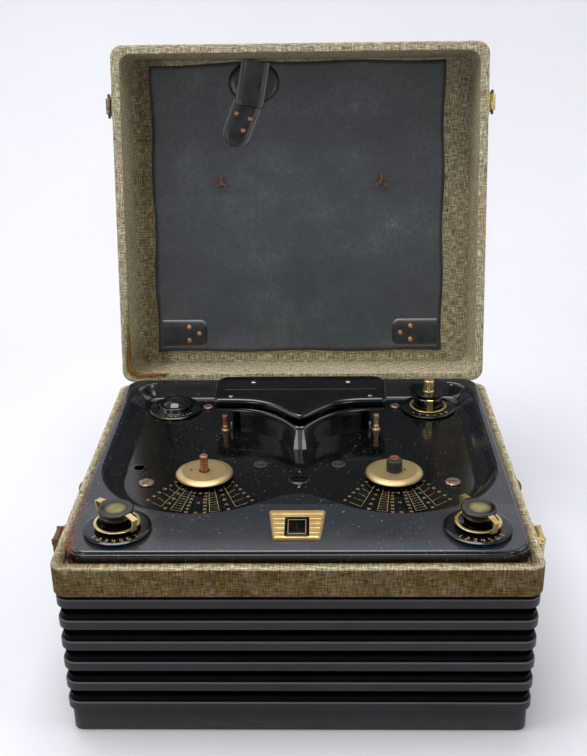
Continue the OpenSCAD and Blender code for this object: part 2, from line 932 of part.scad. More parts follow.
// Posts and thin pins that lead the tape into the head block
module tape_guides() {
    color("#b0763f")
        for (s = [-1, 1]) {
            rod(s * guide_span / 2, guide_y, guide_d / 2, floor_z, floor_z + guide_h);
            rod(s * guide_span / 2, guide_y, guide_d / 2 + guide_foot_w, floor_z, floor_z + guide_foot_h);
            rod(s * (guide_span / 2 - guide_pin_in), guide_y, guide_pin_r, floor_z, floor_z + guide_pin_h);
        }
}

// Erase head and record head behind the tape
module tape_heads() {
    color("#a9a9a6")
        for (x = head_xs) {
            translate([x - head_w / 2, tape_y + past, floor_z])
                cube([head_w, head_d, head_h]);
            translate([x - head_w / 2 - head_foot, tape_y + head_foot, floor_z])
                cube([head_w + 2 * head_foot, head_d + head_foot, head_foot]);
        }
}

// Round dial with a boss that carries its pointer ring
module dial(x, y, z) {
    color("#121315")
        difference() {
            union() {
                rod(x, y, dial_d / 2, z, z + dial_t - dial_bevel);
                translate([x, y, z + dial_t - dial_bevel])
                    cylinder(h = dial_bevel, r1 = dial_d / 2, r2 = dial_d / 2 - dial_bevel_w);
                rod(x, y, dial_boss_r, z, z + ring_lift + ring_t);
            }
            rod(x, y, control_shaft_r + run_gap, z - past, z + knob_lift + past);
        }
}

// Level dial with its bezel
module level_dial() {
    color("#121315")
        translate([-rear_dial_x, rear_dial_y, floor_z])
            rotate_extrude()
                polygon([
                    [0, 0], [dial_d / 2, 0], [dial_d / 2, dial_t - dial_bevel],
                    [dial_d / 2 - dial_bevel_w, dial_t],
                    [bezel_d / 2, dial_t], [bezel_d / 2 - dial_bevel_w, dial_t + bezel_h],
                    [lens_d / 2 + fit_gap, dial_t + bezel_h], [lens_d / 2 + fit_gap, dial_t], [0, dial_t]
                ]);
}

// Domed lens of the level dial
module level_lens() {
    lens_r = lens_d / 2;
    dome_r = (lens_r * lens_r + lens_rise * lens_rise) / (2 * lens_rise);
    base_h = bezel_h - past;
    color("#9fb0ad")
        translate([-rear_dial_x, rear_dial_y, floor_z + dial_t])
            union() {
                cylinder(h = base_h, r = lens_r);
                intersection() {
                    translate([0, 0, base_h + lens_rise - dome_r])
                        sphere(dome_r);
                    translate([0, 0, base_h - sink])
                        cylinder(h = lens_rise + 2 * sink, r = lens_r);
                }
            }
}

// Ring that turns on a dial boss, with upright pointers at the given angles
module pointer_ring(x, y, z, turns) {
    color("#b8934f")
        translate([x, y, z + ring_lift])
            difference() {
                union() {
                    cylinder(h = ring_t, r = ring_d / 2);
                    for (a = turns)
                        rotate([0, 0, a])
                            translate([ring_d / 2 - tab_t, -tab_w / 2, 0])
                                cube([tab_t, tab_w, ring_t + tab_h]);
                }
                translate([0, 0, -past])
                    cylinder(h = ring_t + 2 * past, r = dial_boss_r + run_gap);
            }
}

// Knob that widens upwards, with the shaft into its control
module knob(x, y, z) {
    color("#17181a")
        translate([x, y, z + knob_lift]) {
            cylinder(h = knob_h, r1 = knob_foot_d / 2, r2 = knob_d / 2);
            translate([0, 0, -knob_lift - deck_sheet - control_h / 2])
                cylinder(h = knob_lift + deck_sheet + control_h / 2 + sink, r = control_shaft_r);
        }
}

// Hub of the selector with its shaft hole
module selector_hub() {
    color("#1a1b1d")
        translate([rear_dial_x, rear_dial_y, floor_z + knob_lift])
            difference() {
                union() {
                    cylinder(h = hub_h - hub_disc - hub_neck, r = hub_d / 2);
                    cylinder(h = hub_h - sink, r = hub_d / 2 - 2 * hub_step);
                    translate([0, 0, hub_h - hub_disc])
                        cylinder(h = hub_disc, r = hub_d / 2 - hub_step);
                }
                translate([0, 0, -past])
                    cylinder(h = hub_h + 2 * past, r = control_shaft_r + fit_gap);
            }
}

// Brass shaft of the selector with the bare bush on top
module selector_shaft() {
    z0 = under_z - control_h / 2;
    z1 = floor_z + knob_lift + hub_h;
    color("#a98a54") {
        rod(rear_dial_x, rear_dial_y, control_shaft_r, z0, z1 + sink);
        rod(rear_dial_x, rear_dial_y, bush_d / 2, z1, z1 + bush_h);
    }
}

// Slotted hub that sets the tape speed
module speed_selector() {
    color("#24262a")
        difference() {
            rod(0, speed_y, speed_d / 2, under_z - speed_foot, floor_z + speed_top);
            translate([-speed_d, speed_y - speed_slot / 2, floor_z])
                cube([2 * speed_d, speed_slot, speed_d]);
        }
}

// Control bodies that hang under the deck below the knobs
module control_bodies() {
    color("#7f8286") {
        for (s = [-1, 1])
            control_body(s * front_dial_x, front_dial_y, border_z - deck_sheet);
        control_body(rear_dial_x, rear_dial_y, under_z);
        difference() {
            rod(0, speed_y, speed_d / 2 + speed_ring_w, under_z - control_h, under_z);
            rod(0, speed_y, speed_d / 2 + run_gap, under_z - speed_foot - part_gap, under_z + past);
        }
    }
}

// One control body with the blind hole for its shaft
module control_body(x, y, z) {
    difference() {
        rod(x, y, control_d / 2, z - control_h, z);
        rod(x, y, control_shaft_r + run_gap, z - control_h / 2 - part_gap, z + past);
    }
}

// Dished turntable with its drive hole
module turntable(s) {
    r = table_d / 2;
    top = table_h - table_lift;
    color("#c09a55")
        translate([s * spindle_x, spindle_y, floor_z + table_lift])
            difference() {
                rotate_extrude()
                    polygon([
                        [shaft_r + fit_gap, 0], [r, 0], [r, table_edge], [r - table_edge, table_edge],
                        [r - table_edge, top - table_edge], [r - 2 * table_edge, top],
                        [r - table_land, top], [r - table_land - table_dish, top - table_dish],
                        [shaft_r + fit_gap, top - table_dish]
                    ]);
                translate([s * r / 2, 0, -past])
                    cylinder(h = table_h + 2 * past, r = table_hole_r);
            }
}

// Shaft turned in one piece with its brake drum and the spindle on top
module spindle(s, top_z) {
    color("#a4623c") {
        rod(s * spindle_x, spindle_y, shaft_r, spindle_foot, table_z - table_dish);
        rod(s * spindle_x, spindle_y, spindle_r, table_z - table_dish - sink, top_z - spindle_tip);
        translate([s * spindle_x, spindle_y, top_z - spindle_tip])
            cylinder(h = spindle_tip, r1 = spindle_r, r2 = spindle_r - spindle_tip);
        rod(s * spindle_x, spindle_y, drum_d / 2, drum_z, drum_z + drum_t);
        rod(s * spindle_x, spindle_y, bearing_d / 2, bearing_z + bearing_l + part_gap, drum_z + sink);
    }
}

// Right spindle, drilled for the screw of its cap
module right_spindle() {
    top_z = table_z + cap_h - cap_roof - fit_gap;
    difference() {
        spindle(1, top_z);
        rod(spindle_x, spindle_y, cover_screw_r + fit_gap, top_z - spindle_hole, top_z + past);
    }
}

// Rubber cap over the right spindle
module spindle_cap() {
    color("#1d1e20")
        translate([spindle_x, spindle_y, table_z])
            difference() {
                union() {
                    cylinder(h = cap_h - cap_bevel, r = cap_d / 2);
                    translate([0, 0, cap_h - cap_bevel])
                        cylinder(h = cap_bevel, r1 = cap_d / 2, r2 = cap_d / 2 - cap_bevel);
                }
                translate([0, 0, -past])
                    cylinder(h = cap_h - cap_roof + past, r = spindle_r + fit_gap);
                translate([0, 0, -past])
                    cylinder(h = cap_h + 2 * past, r = cover_screw_r + fit_gap);
            }
}

// Slotted screw that holds the rubber cap
module cap_screw() {
    z0 = table_z + cap_h;
    z1 = z0 + cap_screw_h;
    color("#a07a46")
        difference() {
            union() {
                rod(spindle_x, spindle_y, cap_d / 2 - cap_roof, z0, z1);
                rod(spindle_x, spindle_y, cover_screw_r, z0 - spindle_hole, z0 + sink);
            }
            translate([spindle_x - cap_d / 2, spindle_y - cap_slot_w / 2, z1 - cap_slot_h])
                cube([cap_d, cap_slot_w, cap_screw_h]);
        }
}

// Capstan turned in one piece with its flywheel
module capstan_flywheel() {
    color("#8f9296") {
        rod(capstan_x, capstan_y, shaft_r, spindle_foot, floor_z);
        rod(capstan_x, capstan_y, capstan_r, floor_z - sink, shield_z);
        translate([capstan_x, capstan_y, flywheel_z])
            rotate_extrude()
                polygon([
                    [0, 0], [flywheel_d / 2, 0], [flywheel_d / 2, flywheel_t],
                    [flywheel_d / 2 - flywheel_rim, flywheel_t],
                    [flywheel_d / 2 - flywheel_rim - flywheel_dish / 2, flywheel_t - flywheel_dish],
                    [flywheel_hub_r + flywheel_dish / 2, flywheel_t - flywheel_dish],
                    [flywheel_hub_r, flywheel_t], [0, flywheel_t]
                ]);
    }
}

// Rubber pinch roller on the pin of its arm
module pinch_roller() {
    color("#232427")
        translate([capstan_x, roller_y, floor_z + part_gap + arm_t + part_gap])
            difference() {
                cylinder(h = roller_h, r = roller_d / 2);
                translate([0, 0, -past])
                    cylinder(h = roller_h + 2 * past, r = roller_pin_r + run_gap);
            }
}

// Swinging arm of the pinch roller
module pinch_arm() {
    z0 = floor_z + part_gap;
    bar = norm([arm_l, roller_y - arm_y]);
    color("#9a9da1")
        difference() {
            union() {
                rod(arm_x, arm_y, arm_boss_r, z0, z0 + arm_t);
                rod(capstan_x, roller_y, arm_boss_r, z0, z0 + arm_t);
                translate([arm_x, arm_y, z0])
                    rotate([0, 0, atan2(roller_y - arm_y, arm_l)])
                        translate([0, -arm_w / 2, 0])
                            cube([bar, arm_w, arm_t]);
                rod(capstan_x, roller_y, roller_pin_r, z0, z0 + arm_t + roller_h + roller_pin_end);
            }
            rod(arm_x, arm_y, arm_pin_r + run_gap, z0 - past, z0 + arm_t + past);
        }
}

// Steel plate that carries the motor and the shaft bearings
module mechanism_plate() {
    w = 2 * (front_screw_x + plate_side);
    y0 = front_screw_y - plate_side;
    y1 = rear_screw_y + plate_side;
    color("#85888c")
        difference() {
            translate([-w / 2, y0, plate_z - plate_t])
                cube([w, y1 - y0, plate_t]);
            for (p = shaft_spots())
                rod(p.x, p.y, bearing_d / 2 + fit_gap, plate_z - plate_t - past, plate_z + past);
            rod(motor_x, motor_y, pulley_d / 2 + past, plate_z - plate_t - past, plate_z + past);
        }
}

// Bushes that the three upright shafts turn in
module shaft_bearings() {
    color("#a98a54")
        for (p = shaft_spots())
            difference() {
                union() {
                    rod(p.x, p.y, bearing_d / 2, bearing_z, bearing_z + bearing_l);
                    rod(p.x, p.y, bearing_d / 2 + bearing_flange, bearing_z, plate_z - plate_t);
                }
                rod(p.x, p.y, shaft_r + run_gap, bearing_z - past, bearing_z + bearing_l + past);
            }
}

// Pillars between the deck and the mechanism plate
module plate_standoffs() {
    color("#9a9da1")
        for (s = [-1, 1]) {
            standoff(s * front_screw_x, front_screw_y);
            standoff(s * rear_screw_x, rear_screw_y);
        }
}

// One pillar with the hole for its deck screw
module standoff(x, y) {
    difference() {
        rod(x, y, standoff_r, plate_z, under_z);
        rod(x, y, screw_r + fit_gap, under_z - standoff_hole, under_z + past);
    }
}

// Motor hung under the mechanism plate
module motor_body() {
    z1 = plate_z - plate_t;
    color("#5c6064")
        difference() {
            union() {
                rod(motor_x, motor_y, motor_d / 2, z1 - motor_h, z1 - motor_neck);
                rod(motor_x, motor_y, motor_d / 2 - motor_neck_in, z1 - motor_neck - sink, z1);
            }
            rod(motor_x, motor_y, rotor_r + rotor_gap, rotor_z0, rotor_z1);
            rod(motor_x, motor_y, control_shaft_r + run_gap, rotor_z1 - past, z1 + past);
        }
}

// Rotor, shaft and pulley of the motor
module motor_pulley() {
    color("#a98a54") {
        rod(motor_x, motor_y, pulley_d / 2, flywheel_z, flywheel_z + flywheel_t);
        rod(motor_x, motor_y, control_shaft_r, rotor_z1 - rotor_gap - sink, flywheel_z + sink);
        rod(motor_x, motor_y, rotor_r, rotor_z0 + rotor_gap, rotor_z1 - rotor_gap);
    }
}

// Flat belt from the motor pulley to the flywheel
module drive_belt() {
    color("#26221f")
        translate([0, 0, belt_z])
            linear_extrude(belt_w)
                difference() {
                    belt_outline(belt_t + part_gap);
                    belt_outline(part_gap);
                }
}

// Outline round both belt wheels, grown by a margin
module belt_outline(grow) {
    hull() {
        translate([motor_x, motor_y])
            circle(pulley_d / 2 + grow);
        translate([capstan_x, capstan_y])
            circle(flywheel_d / 2 + grow);
    }
}

// Folded chassis of the amplifier, open below
module amplifier_chassis() {
    color("#8b8e90")
        translate([amp_x - amp_w / 2, amp_y - amp_d / 2, panel_t])
            difference() {
                cube([amp_w, amp_d, amp_h]);
                translate([amp_sheet, amp_sheet, -past])
                    cube([amp_w - 2 * amp_sheet, amp_d - 2 * amp_sheet, amp_h - amp_sheet + past]);
            }
}

// Row of valves standing on the chassis
module valves() {
    step = amp_w / valve_count;
    color("#c9c4b4")
        for (i = [0 : valve_count - 1])
            translate([amp_x - amp_w / 2 + (i + 0.5) * step, amp_y + amp_d / 4, panel_t + amp_h]) {
                cylinder(h = valve_base_h, r = valve_d / 2 + valve_base_w);
                cylinder(h = valve_h - valve_d / 2, r = valve_d / 2);
                translate([0, 0, valve_h - valve_d / 2])
                    sphere(valve_d / 2);
            }
}

// Power transformer with its frame and winding
module power_transformer() {
    color("#4a4c50")
        translate([mains_x, mains_y, panel_t]) {
            translate([-mains_w / 2, -mains_d / 4, 0])
                cube([mains_w, mains_d / 2, mains_h]);
            translate([-mains_w / 4, -mains_d / 2, mains_h / 6])
                cube([mains_w / 2, mains_d, mains_h * 2 / 3]);
        }
}

// Places a lathed shape on the axis of the speaker, pointing back from the front wall
module on_speaker_axis() {
    translate([0, front_y + cavity_inset, speaker_z])
        rotate([-90, 0, 0])
            rotate_extrude()
                children();
}

// Speaker basket with its magnet, screwed to the inside of the front wall
module speaker_frame() {
    r = speaker_d / 2;
    m = magnet_d / 2;
    color("#565a5e")
        on_speaker_axis()
            polygon([
                [r - speaker_rim, 0], [r, 0], [r, speaker_sheet],
                [r - speaker_rim + speaker_sheet, speaker_sheet],
                [m - speaker_sheet, speaker_l], [m, speaker_l], [m, speaker_l + magnet_l],
                [0, speaker_l + magnet_l], [0, speaker_l], [m - 3 * speaker_sheet, speaker_l]
            ]);
}

// Paper cone of the speaker
module speaker_cone() {
    r = speaker_d / 2 - speaker_rim - fit_gap;
    m = magnet_d / 2 - 3 * speaker_sheet - fit_gap;
    color("#3a3631")
        on_speaker_axis()
            polygon([
                [r, 0], [m, speaker_l - fit_gap], [0, speaker_l - fit_gap], [0, speaker_l - cone_t],
                [m - cone_t, speaker_l - cone_t], [r - cone_t, 0]
            ]);
}

// Plates of the side latches with the ears and pins of their hasps
module latch_plates() {
    color("#a3854b")
        pair() {
            translate([side_x, latch_y - latch_w / 2, latch_z - latch_h])
                cube([latch_t, latch_w, latch_h]);
            for (s = [-1, 1])
                translate([
                    side_x,
                    latch_y + s * (hasp_w / 2 + part_gap + ear_t / 2) - ear_t / 2,
                    hasp_z - hasp_barrel_r
                ])
                    cube([hasp_x - side_x + hasp_barrel_r, ear_t, 2 * hasp_barrel_r]);
            translate([hasp_x, latch_y - hasp_w / 2 - part_gap - ear_t, hasp_z])
                rotate([-90, 0, 0])
                    cylinder(h = hasp_w + 2 * (part_gap + ear_t), r = hasp_pin_r);
        }
}

// Hasp that hangs from its pin on the right side
module hasp() {
    color("#a3854b")
        difference() {
            union() {
                translate([hasp_x, latch_y - hasp_w / 2, hasp_z])
                    rotate([-90, 0, 0])
                        cylinder(h = hasp_w, r = hasp_barrel_r);
                translate([hasp_x - hasp_back, latch_y - hasp_w / 2, hasp_z - hasp_l])
                    cube([hasp_t, hasp_w, hasp_l]);
            }
            translate([hasp_x, latch_y - hasp_w / 2 - past, hasp_z])
                rotate([-90, 0, 0])
                    cylinder(h = hasp_w + 2 * past, r = hasp_pin_r + run_gap);
        }
}

// Domed studs on the sides of the band
module side_studs() {
    r = side_stud_d / 2;
    dome_r = (r * r + side_stud_h * side_stud_h) / (2 * side_stud_h);
    color("#5a3a26")
        pair()
            translate([side_x, front_y + side_stud_front, rim_z - r - 2])
                intersection() {
                    translate([side_stud_h - dome_r, 0, 0])
                        sphere(dome_r);
                    rotate([0, 90, 0])
                        cylinder(h = side_stud_h + past, r = r);
                }
}

// Tube round the hinge axis from x0, as long as one knuckle
module knuckle(x0) {
    translate([x0, hinge_y, hinge_z])
        rotate([0, 90, 0])
            cylinder(h = knuckle_l, r = knuckle_d / 2);
}

// Hole for the hinge pin along a whole hinge
module hinge_bore() {
    translate([hinge_span / 2 - leaf_w, hinge_y, hinge_z])
        rotate([0, 90, 0])
            cylinder(h = 2 * leaf_w, r = hinge_pin_d / 2 + run_gap);
}

// Lower hinge leaves on the back of the base, with two knuckles each
module hinge_base_leaves() {
    color("#7b5238")
        pair()
            difference() {
                union() {
                    translate([hinge_x, back_y, rim_z - leaf_h - leaf_drop - hinge_drop])
                        cube([leaf_w, leaf_t, leaf_h]);
                    for (i = [0, 2]) {
                        knuckle(hinge_x + i * knuckle_step);
                        translate([hinge_x + i * knuckle_step, back_y, rim_z - leaf_neck - hinge_drop])
                            cube([knuckle_l, leaf_t, leaf_neck]);
                    }
                }
                hinge_bore();
            }
}

// Hinge pins
module hinge_pins() {
    color("#8d8a86")
        pair()
            translate([hinge_x, hinge_y, hinge_z])
                rotate([0, 90, 0])
                    cylinder(h = leaf_w, r = hinge_pin_d / 2);
}

// Cloth-covered plywood lid
module lid_shell() {
    color("#8d8061")
        opened()
            difference() {
                case_slab(0, lid_z, lid_z + lid_depth);
                case_slab(wood_t, lid_z - past, lid_inner_z);
            }
}

// Leatherette board inside the lid
module lid_liner() {
    color("#2b3236")
        opened()
            translate([liner_x - liner_w / 2, liner_y - liner_l / 2, liner_z])
                cube([liner_w, liner_l, liner_t]);
}

// Leather straps with round ends on the liner
module liner_straps() {
    color("#15171a")
        opened()
            for (p = strap_spots)
                translate([p[0].x, p[0].y, liner_z - strap_t])
                    rotate([0, 0, p[1]])
                        linear_extrude(strap_t) {
                            translate([-strap_w / 2, -strap_w / 2])
                                square([p[2] - strap_w / 2, strap_w]);
                            translate([p[2] - strap_w, 0])
                                circle(strap_w / 2);
                        }
}

// Rivets through the round ends of the straps
module strap_rivets() {
    color("#8a5238")
        opened()
            for (p = strap_spots)
                translate([p[0].x, p[0].y, liner_z - strap_t - rivet_h])
                    rotate([0, 0, p[1]])
                        for (a = [0, 120, 240])
                            translate([p[2] - strap_w + cos(a) * rivet_ring, sin(a) * rivet_ring, 0])
                                cylinder(h = rivet_h, r = rivet_d / 2);
}

// Three-prong studs on the liner that hold a reel
module reel_studs() {
    color("#7d4a2e")
        opened()
            for (s = [-1, 1])
                translate([s * stud_span / 2, back_y - stud_in, liner_z - reel_stud_h]) {
                    cylinder(h = reel_stud_h - prong_t + sink, r = reel_stud_r - sink);
                    translate([0, 0, reel_stud_h - prong_t])
                        linear_extrude(prong_t) {
                            circle(reel_stud_r);
                            for (a = [90, 210, 330])
                                rotate(a)
                                    translate([reel_stud_r / 2, -prong_w / 2])
                                        square([prong_l - reel_stud_r / 2, prong_w]);
                        }
                }
}

// Catches on the lid sides that the hasps hold
module lid_catches() {
    color("#8f6f45")
        opened()
            pair() {
                translate([side_x, latch_y - latch_w / 2, lid_z + catch_lift])
                    cube([latch_t, latch_w, catch_h]);
                translate([side_x, latch_y - hasp_w / 2, lid_z + 2 * catch_lift])
                    cube([latch_t + catch_lip, hasp_w, catch_lip]);
            }
}

// Upper hinge leaves on the back of the lid, with one knuckle each
module hinge_lid_leaves() {
    color("#7b5238")
        opened()
            pair()
                difference() {
                    union() {
                        translate([hinge_x, back_y, lid_z + leaf_drop])
                            cube([leaf_w, leaf_t, leaf_h]);
                        knuckle(hinge_x + knuckle_step);
                        translate([hinge_x + knuckle_step, back_y + part_gap, hinge_z])
                            cube([knuckle_l, leaf_t, 2 * leaf_neck + hinge_drop]);
                    }
                    hinge_bore();
                }
}

base_shell();
case_band();
bottom_panel();
bottom_screws();
deck_plate();
deck_screws();
deck_plugs();
badge_plate();
head_cover();
cover_screws();
front_shield();
tape_guides();
tape_heads();
level_dial();
level_lens();
dial(-front_dial_x, front_dial_y, border_z);  // output_dial
dial(front_dial_x, front_dial_y, border_z);  // tone_dial
dial(rear_dial_x, rear_dial_y, floor_z);  // selector_dial
shaft_bearings();
mechanism_plate();
plate_standoffs();
motor_body();
drive_belt();
amplifier_chassis();
valves();
power_transformer();
speaker_frame();
speaker_cone();
control_bodies();
latch_plates();
side_studs();
hinge_base_leaves();
hinge_pins();
turntable(-1);  // left_turntable
spindle(-1, table_z + spindle_h);  // left_spindle
turntable(1);  // right_turntable
right_spindle();
spindle_cap();
cap_screw();
capstan_flywheel();
motor_pulley();
pinch_arm();
pinch_roller();
knob(-front_dial_x, front_dial_y, border_z);  // output_knob
pointer_ring(-front_dial_x, front_dial_y, border_z, [output_turn, output_turn + 180]);  // output_ring
knob(front_dial_x, front_dial_y, border_z);  // tone_knob
pointer_ring(front_dial_x, front_dial_y, border_z, [tone_turn, tone_turn + 180]);  // tone_ring
selector_hub();
selector_shaft();
pointer_ring(rear_dial_x, rear_dial_y, floor_z, [selector_turn]);  // selector_ring
speed_selector();
mirror([1, 0, 0]) hasp();  // left_hasp
hasp();  // right_hasp
lid_shell();
lid_liner();
liner_straps();
strap_rivets();
reel_studs();
lid_catches();
hinge_lid_leaves();
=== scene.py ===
import bpy
import bmesh
import numpy as np
from mathutils import Matrix


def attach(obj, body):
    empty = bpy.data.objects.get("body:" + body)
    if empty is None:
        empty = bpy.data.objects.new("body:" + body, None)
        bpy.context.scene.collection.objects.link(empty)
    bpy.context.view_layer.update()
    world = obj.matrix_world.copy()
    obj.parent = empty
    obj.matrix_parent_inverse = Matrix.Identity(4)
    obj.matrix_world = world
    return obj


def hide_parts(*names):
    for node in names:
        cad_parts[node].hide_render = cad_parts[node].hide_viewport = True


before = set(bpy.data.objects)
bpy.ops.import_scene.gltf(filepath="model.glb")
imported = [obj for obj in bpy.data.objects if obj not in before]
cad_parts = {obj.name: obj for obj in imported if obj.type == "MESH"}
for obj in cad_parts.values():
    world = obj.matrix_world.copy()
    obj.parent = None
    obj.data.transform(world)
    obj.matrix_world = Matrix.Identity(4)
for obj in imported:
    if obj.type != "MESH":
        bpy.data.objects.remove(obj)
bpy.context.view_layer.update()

# Portable tape recorder with its lid open. Sizes are millimetres here and become metres in skin().
MM = 0.001
# Heights: the band's rim, the deck's border, the floor of its well, and the shield, lip and top of the head block
RIM = 171.5
BORDER, FLOOR = RIM + 11, RIM - 5
SHIELD_H = 21.0
SHIELD_TOP = FLOOR + SHIELD_H
LIP, COVER_TOP = SHIELD_TOP + 6.5, FLOOR + 36
# Plans of case and deck: width, depth and corner radius
CASE_W, CASE_D, CASE_R = 408.0, 369.0, 13.0
DECK_W, DECK_D, DECK_R = 387.0, 348.0, 19.0
BAND_H = 28.0
# The well: the reels in it, the run and depth of its wall, its sides, its back and its rear corners
SPINDLE_X, SPINDLE_Y = 90.0, -24.0
WELL_R, WELL_RUN, WELL_DEPTH = 92.0, 20.0, 16.0
WELL_SIDE, WELL_BACK, WELL_CORNER = 186.0, 162.0, 30.0
# The lid: its hinge line and its turn, then the edge, roof, ceiling and liner of the closed lid
HINGE_Y, HINGE_Z, LID_TURN = 187.4, RIM - 2.7, np.radians(-103)
LID_EDGE, LID_WALL, LINER_T = RIM + 0.6, 9.5, 4.0
LID_ROOF = LID_EDGE + 84
CEILING = LID_ROOF - LID_WALL
LINER_Z = CEILING - LINER_T
# Places in plan
OUTPUT_DIAL, TONE_DIAL = (-152.5, -140.0), (152.5, -140.0)
LEVEL_DIAL, SELECTOR_DIAL = (-136.5, 128.5), (136.5, 128.5)
OPEN_HOLE, SPEED_HUB, CAPSTAN = (-155.5, -3.0), (0.0, -26.0), (20.0, 93.0)
POST_X, POST_Y, STUB_X, STUB_Y = 50, 119, 72, 88
GUIDE_X, GUIDE_Y, GUIDE_PIN_X = 78, 77, 71.5
LATCH_Y = -121.5
# Rings and knobs stand this high over the deck
RING_LIFT, KNOB_LIFT = 3.3, 5.6


def linear(code):
    """sRGB hex to linear colour: ((c + 0.055) / 1.055) ^ 2.4, or c / 12.92 near black."""
    c = np.array([int(code[i:i + 2], 16) for i in (1, 3, 5)]) / 255
    return (*np.where(c > 0.04045, ((c + 0.055) / 1.055) ** 2.4, c / 12.92), 1.0)


def add(tree, kind, settings=None, links=None):
    """Adds one node: settings are its properties, or its ramp's stops; links are its inputs, each set to a value or
    a hex colour, or linked to a socket or to the first live output of a node."""
    node = tree.nodes.new("ShaderNode" + kind)
    for key, value in (settings or {}).items():
        if key == "stops":
            ramp = node.color_ramp.elements
            while len(ramp) < len(value):
                ramp.new(1.0)
            for element, (place, colour) in zip(ramp, value):
                element.position = place
                element.color = linear(colour)
        else:
            setattr(node, key, value)
    for key, value in (links or {}).items():
        if isinstance(value, bpy.types.Node):
            value = next(socket for socket in value.outputs if socket.enabled)
        if isinstance(value, bpy.types.NodeSocket):
            tree.links.new(value, node.inputs[key])
        else:
            node.inputs[key].default_value = linear(value) if isinstance(value, str) else value
    return node


def material(name, paint):
    """A node material whose Principled shader takes the inputs that paint(tree) returns."""
    mat = bpy.data.materials.new(name)
    mat.use_nodes = True
    mat.node_tree.nodes.clear()
    shader = add(mat.node_tree, "BsdfPrincipled", links=paint(mat.node_tree))
    add(mat.node_tree, "OutputMaterial", links={"Surface": shader})
    return mat


def between(low, high):
    """Ramp settings that turn a noise value between low and high into 0 to 1."""
    return {"stops": [(low, "#000000"), (high, "#ffffff")]}


# Settings that many nodes share
TIMES = {"operation": "MULTIPLY"}
COLOURS = {"data_type": "RGBA"}
STAIN = {"data_type": "RGBA", "blend_type": "MULTIPLY"}
# The wear attribute holds real wear, and in some meshes painted shade, painted highlights and painted reflection
WEAR_AND_PAINTED_LIGHT = {"attribute_name": "wear"}


# Tweed bookcloth, woven of dark and pale slubbed threads and glued on: streaks both ways, soiled in patches.
def tweed_bookcloth(t):
    cloth = add(t, "TexCoord").outputs["UV"]
    place = add(t, "TexCoord").outputs["Object"]
    # Threads of about 0.6 mm, drawn at 1.2 mm so that they show, with slubs of 9 mm
    along = add(t, "Mapping", links={"Vector": cloth, "Scale": (850.0, 110.0, 1.0)})
    across = add(t, "Mapping", links={"Vector": cloth, "Scale": (110.0, 850.0, 1.0)})
    warp = add(t, "TexNoise", links={"Vector": along, "Scale": 1.0, "Detail": 2.0})
    weft = add(t, "TexNoise", links={"Vector": across, "Scale": 1.0, "Detail": 2.0})
    weave = add(t, "Math", {"operation": "ADD"}, {0: warp, 1: weft})
    half = add(t, "Math", TIMES, {0: weave, 1: 0.5})
    thread = add(t, "ValToRGB", {"stops": [
        (0.35, "#4c4434"), (0.45, "#857c64"), (0.55, "#a99f84"), (0.65, "#dad2b8")]}, {0: half})
    # Faint soil in patches of 70 mm, and grime with ragged edges of 22 mm where the wear is; on the band's outer face
    # that grime is also painted shade
    patch = add(t, "TexNoise", links={"Vector": place, "Scale": 14.0, "Detail": 4.0, "Roughness": 0.6})
    soil = add(t, "ValToRGB", between(0.52, 0.75), {0: patch})
    faint = add(t, "Math", TIMES, {0: soil, 1: 0.35})
    soiled = add(t, "Mix", STAIN, {0: faint, 6: thread, 7: "#a08a60"})
    worn = add(t, "Attribute", WEAR_AND_PAINTED_LIGHT).outputs["Fac"]
    ragged = add(t, "TexNoise", links={"Vector": place, "Scale": 45.0, "Detail": 8.0, "Roughness": 0.75})
    uneven = add(t, "MapRange", links={0: ragged, 1: 0.25, 2: 0.75, 3: 0.4, 4: 0.64})
    bite = add(t, "Math", {"operation": "MULTIPLY", "use_clamp": True}, {0: worn, 1: uneven})
    grime_and_shade = add(t, "Mix", STAIN, {0: bite, 6: soiled, 7: "#867340"})
    # Rust from the steel edging, where the wear is above 1.8
    bleed = add(t, "MapRange", links={0: worn, 1: 1.8, 2: 3.2})
    holes = add(t, "ValToRGB", between(0.42, 0.62), {0: ragged})
    blot = add(t, "Math", TIMES, {0: bleed, 1: holes})
    stained = add(t, "Mix", COLOURS, {0: blot, 6: grime_and_shade, 7: "#8c5a2a"})
    bump = add(t, "Bump", links={"Strength": 0.5, "Distance": 0.0004, "Height": half})
    return {"Base Color": stained, "Roughness": 0.86, "Normal": bump, "Specular IOR Level": 0.2}
